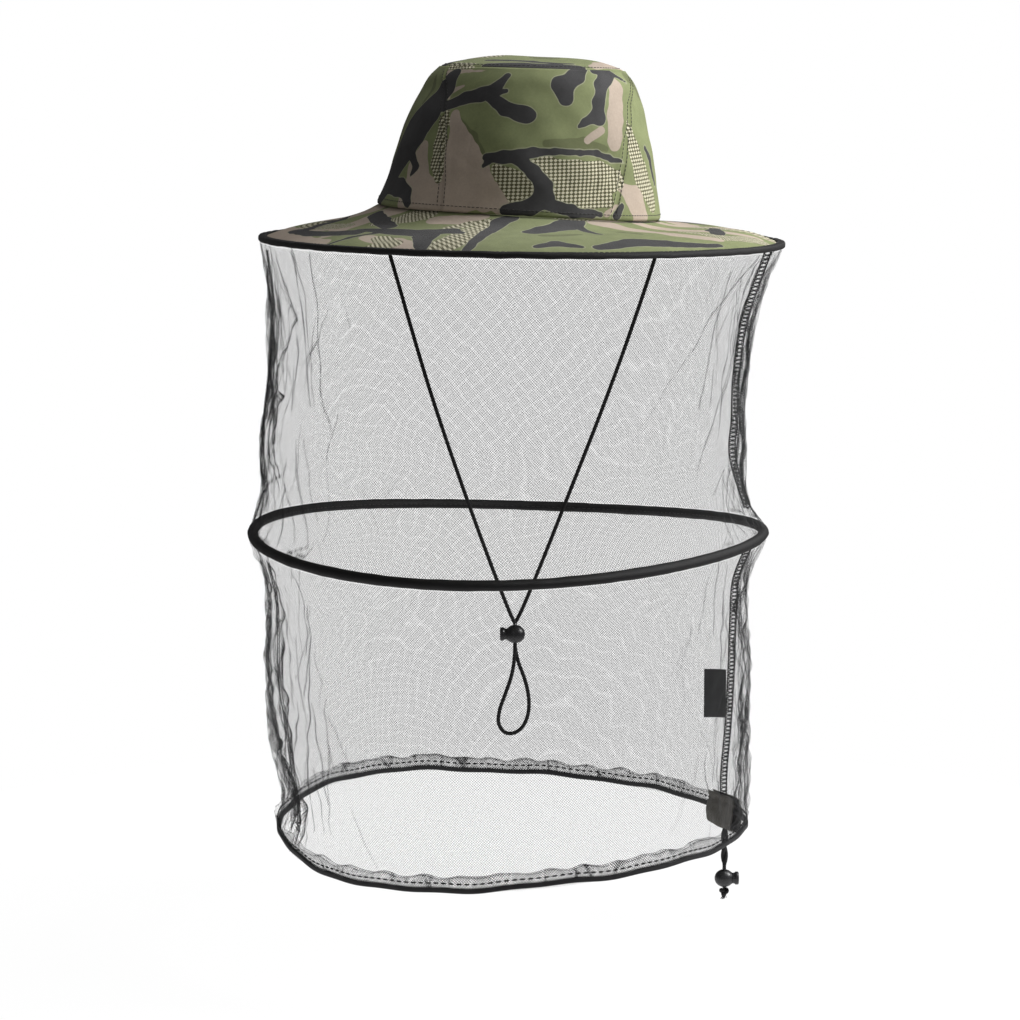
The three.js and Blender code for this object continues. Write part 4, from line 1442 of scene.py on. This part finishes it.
SEAM_ROUTES = {
    "upper_net_seam_right": [
        (97, -27), (96, -67), (98, -84), (101, -121), (101, -146), (101, -170), (99, -208),
    ],
    "upper_net_seam_left": [
        (-90, -29), (-93, -60), (-92, -85), (-90, -122), (-88, -151), (-86, -189), (-80, -208),
    ],
    "lower_net_seam_right": [
        (98, -229), (102, -257), (104, -284), (105, -320), (107, -358), (109, -392), (109, -409),
    ],
    "lower_net_seam_left": [
        (-69, -229), (-71, -256), (-68, -304), (-64, -330), (-63, -363), (-63, -385), (-66, -405),
    ],
}
SEAM_INSET = 2.6


def seam_path(name):
    upper = name.startswith("upper")
    line = UPPER_NET_LINE if upper else LOWER_NET_LINE
    route = []
    for azimuth, z in SEAM_ROUTES[name]:
        radius = eased(line, np.array(float(z))) - SEAM_INSET
        for middle, height, depth, half_turn, half_height in UPPER_PULLS if upper else LOWER_PULLS:
            near = bump(apart(azimuth, middle), half_turn) * bump(z - height, half_height)
            radius -= depth * near
        route.append(hang(polar(azimuth, radius, z)))
    return smooth_path(route, 0.8)


def make_seams():
    for name in SEAM_ROUTES:
        upper = name.startswith("upper")
        standing = name.endswith("right")
        threads = overlock(seam_path(name), standing, thread=0.45 if standing else 0.2)
        piece = add_joined(f"{name}_overlocked", threads, CORD)
        finish_piece(piece, "hat" if upper else "hoop", "veil_mesh", name)
        squash_net(piece)


def make_label():
    """A blank satin ribbon folded double, sewn into the right seam by one edge."""
    low, high = box_mm("care_label")
    width, height = high[0] - low[0], high[2] - low[2]
    share = np.linspace(0, 1, 26)
    depth = np.linspace(0, 1, 30)
    grid_depth, grid_share = np.meshgrid(depth, share, indexing="ij")
    x = high[0] - width * grid_share
    z = low[2] + height * grid_depth
    y = (low[1] + high[1]) / 2 + 1.6 * np.sin(grid_share * 2.4) - 0.7 * np.sin(grid_depth * 5) * grid_share
    points = np.stack([x, y, z], axis=-1)[:, ::-1]
    uv = sheet_uv(share * width, depth * height)
    label = thicken(add_grid("care_label_ribbon", points, SATIN, False, uv), 0.5)
    finish_piece(label, "hoop", "label_satin", "care_label")
    squash_net(label)


# ---------------------------------------------------------------- hem

def hem_sway(azimuth):
    """How the hem rises and dips between its gathers."""
    a = np.radians(azimuth)
    kink = 3.0 * bump(apart(azimuth, -74), 6) - 2.2 * bump(apart(azimuth, -52), 7)
    return 0.9 * np.sin(5 * a + 1) + 0.6 * np.sin(11 * a) + 0.35 * np.sin(23 * a + 2) + kink


def make_hem():
    """The net's edge folded up over the drawcord and stitched, so that it is double and puckered."""
    columns = 1000
    azimuth = np.arange(columns) / columns * 360
    half = 1.5
    turn = np.linspace(0, np.pi, 9)
    inner = [(-half, z) for z in np.linspace(CASING_TOP, DRAWCORD_Z, 9)]
    bottom = [(-half * np.cos(t), DRAWCORD_Z - half * np.sin(t)) for t in turn[1:-1]]
    outer = [(half, z) for z in np.linspace(DRAWCORD_Z, CASING_TOP, 9)]
    section = np.array(inner + bottom + outer)
    grid_out, grid_azimuth = np.meshgrid(section[:, 0], azimuth, indexing="ij")
    grid_z = np.repeat(section[:, 1][:, None], columns, axis=1)
    place = polar(grid_azimuth, HEM_RADIUS, grid_z)
    above = np.clip((grid_z - DRAWCORD_Z) / (CASING_TOP - DRAWCORD_Z), 0, 1)
    pucker = ripple(place * (1, 1, 0.3), 9, 51) * 0.5 + ripple(place * (1, 1, 0.4), 22, 52) * 0.7
    stitched = bump(grid_z - HEM_STITCH_Z, 1.2)
    radius = HEM_RADIUS + grid_out * (1 - 0.6 * stitched) + pucker * above
    edge = 1.3 * ripple(place * (1, 1, 0), 16, 53) * above ** 2
    points = hang(polar(grid_azimuth, radius, grid_z + hem_sway(grid_azimuth) + edge))
    low = np.clip((DRAWCORD_Z - grid_z) / half + 1.5, 0, 1)
    folds = 0.3 * bump(np.abs(ripple(place * (1, 1, 0.3), 18, 54)), 0.05)
    gather = np.clip(folds + 0.3 * bump(grid_z - CASING_TOP, 0.8) + 0.9 * low, 0, 1)
    run = distance_run(section)
    uv = sheet_uv(np.append(azimuth, 360) * math.radians(1) * HEM_RADIUS, run)
    hem = add_grid("hem_casing_fold", points, NET, True, uv, {"gather": gather})
    finish_piece(hem, "hem", "veil_mesh", "hem_casing")

    ring_azimuth = np.arange(0, 360, 0.4)
    line = hang(polar(ring_azimuth, HEM_RADIUS + 0.9, HEM_STITCH_Z + hem_sway(ring_azimuth)))
    stitches = add_joined("hem_stitching", stitch_surfaces(line, 3.4, 1.7, 1.3), CORD)
    finish_piece(stitches, "hem", "veil_mesh")

    exit_half = math.degrees(EXIT_HALF / HEM_RADIUS)
    cord_azimuth = np.arange(CORD_EXIT + exit_half, CORD_EXIT + 360 - exit_half, 0.3)
    path = hang(polar(cord_azimuth, HEM_RADIUS, DRAWCORD_Z + hem_sway(cord_azimuth)))
    drawcord = add_tube("hem_drawcord_braided", path, CORD_RADIUS, CORD, sides=10, relief=braid)
    finish_piece(drawcord, "hem", "black_cord", "hem_drawcord")


def make_patch():
    """Olive cloth folded over the hem round the drawcord's exit, with stitched ends."""
    length, wall = 44, 3.9
    top, bottom = HEM_Z + 12, HEM_Z - 13
    turn = np.linspace(0, np.pi, 11)
    section = [(-wall, z) for z in np.linspace(top, bottom + wall, 14)]
    section += [(-wall * np.cos(t), bottom + wall - wall * np.sin(t)) for t in turn[1:-1]]
    section += [(wall, z) for z in np.linspace(bottom + wall, top, 14)]
    section = np.array(section)
    half = math.degrees(length / 2 / HEM_RADIUS)
    azimuth = CORD_EXIT + np.linspace(-half, half, 46)
    grid_out, grid_azimuth = np.meshgrid(section[:, 0], azimuth, indexing="ij")
    grid_z = np.repeat(section[:, 1][:, None], len(azimuth), axis=1)
    place = polar(grid_azimuth, HEM_RADIUS, grid_z)
    pinch = bump(grid_z - HEM_STITCH_Z, 2.0) + bump(grid_z - top, 2.5)
    flat = 1 - 0.45 * np.clip(pinch, 0, 1)
    dent = 0.5 * ripple(place, 12, 61) + 0.4 * ripple(place, 30, 62)
    side_sag = 1.6 * ((grid_azimuth - CORD_EXIT) / half) ** 2 * (grid_z < HEM_Z)
    points = hang(polar(grid_azimuth, EXIT_RADIUS + 0.5 + grid_out * flat + dent, grid_z + side_sag))
    run = distance_run(section)
    uv = sheet_uv(np.linspace(0, length, len(azimuth)), run)
    patch = thicken(add_grid("cord_exit_patch_cloth", points, PATCH, False, uv), 0.6)
    finish_piece(patch, "hem", "patch_cloth", "cord_exit_patch")


# ---------------------------------------------------------------- stage, light, and the order of making

def make_stage():
    """A round white floor, lit evenly from within so that it meets the white world without an edge."""
    floor_radius, floor_z = 600, -500
    rim = polar(np.arange(0, 360, 3.0), floor_radius, floor_z)
    material = Finish("floor_paper", 0.9, specular=0.0)
    material.shader.inputs["Base Color"].default_value = (0.06, 0.06, 0.06, 1)
    material.shader.inputs["Emission Color"].default_value = (1, 1, 1, 1)
    material.shader.inputs["Emission Strength"].default_value = 0.97
    add_mesh("floor", rim, [list(range(len(rim)))], material.material)


def add_softbox(name, place, aim, size, power):
    data = bpy.data.lights.new(name, "AREA")
    data.shape = "RECTANGLE"
    data.size, data.size_y = size
    data.energy = power
    light = bpy.data.objects.new(name, data)
    light.location = place
    light.rotation_euler = (Vector(aim) - Vector(place)).to_track_quat("-Z", "Y").to_euler()
    bpy.context.scene.collection.objects.link(light)


def make_light():
    add_softbox("key", (1.15, 0.0, 0.55), (0.05, 0, 0), (0.5, 0.5), 25)
    add_softbox("overhead", (0.6, 0.1, 1.3), (0.1, 0, 0), (0.8, 0.8), 9)
    add_softbox("fill", (-0.5, -1.9, 0.7), (0, 0, -0.1), (1.2, 1.2), 3.6)
    world = bpy.data.worlds.new("studio")
    bpy.context.scene.world = world
    world.use_nodes = True
    tree = world.node_tree
    dim = tree.nodes["Background"]
    dim.inputs["Color"].default_value = (1, 1, 1, 1)
    dim.inputs["Strength"].default_value = 0.14
    white = tree.nodes.new("ShaderNodeBackground")
    white.inputs["Color"].default_value = (1, 1, 1, 1)
    white.inputs["Strength"].default_value = 1.0
    rays = tree.nodes.new("ShaderNodeLightPath")
    both = tree.nodes.new("ShaderNodeMixShader")
    tree.links.new(rays.outputs["Is Camera Ray"], both.inputs[0])
    tree.links.new(dim.outputs[0], both.inputs[1])
    tree.links.new(white.outputs[0], both.inputs[2])
    tree.links.new(both.outputs[0], tree.nodes["World Output"].inputs["Surface"])
    bpy.context.scene.view_settings.view_transform = "Standard"


def dress_frame_nodes():
    """CAD nodes that stay as they are get their finish."""
    for name in ("brim_wire_ferrule", "hoop_ferrule", "hem_lock_spring", "chin_lock_spring"):
        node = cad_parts[name]
        node.data.materials.clear()
        node.data.materials.append(STEEL)


make_crown_side()
make_crown_top()
make_sweatband()
make_chin_tabs()
BRIM_SHAPES = (BRIM_BLACK, BRIM_TAN, BRIM_DOTS, BRIM_DARK_GREEN)
make_brim_ply("brim_upper_cloth", "brim_upper_ply", 0.0, 71, BRIM_SHAPES)
make_brim_ply("brim_lower_cloth", "brim_lower_ply", 1.3, 81, ([], [], [], []))
make_binding()
make_wire_rings()
make_hoop()
make_net("upper_net", UPPER_NET_LINE, UPPER_CREASES, UPPER_PULLS, 101, "hat")
make_net("lower_net", LOWER_NET_LINE, LOWER_CREASES, LOWER_PULLS, 201, "hoop")
make_seams()
make_label()
make_hem()
make_patch()
dress_frame_nodes()
make_stage()
make_light()
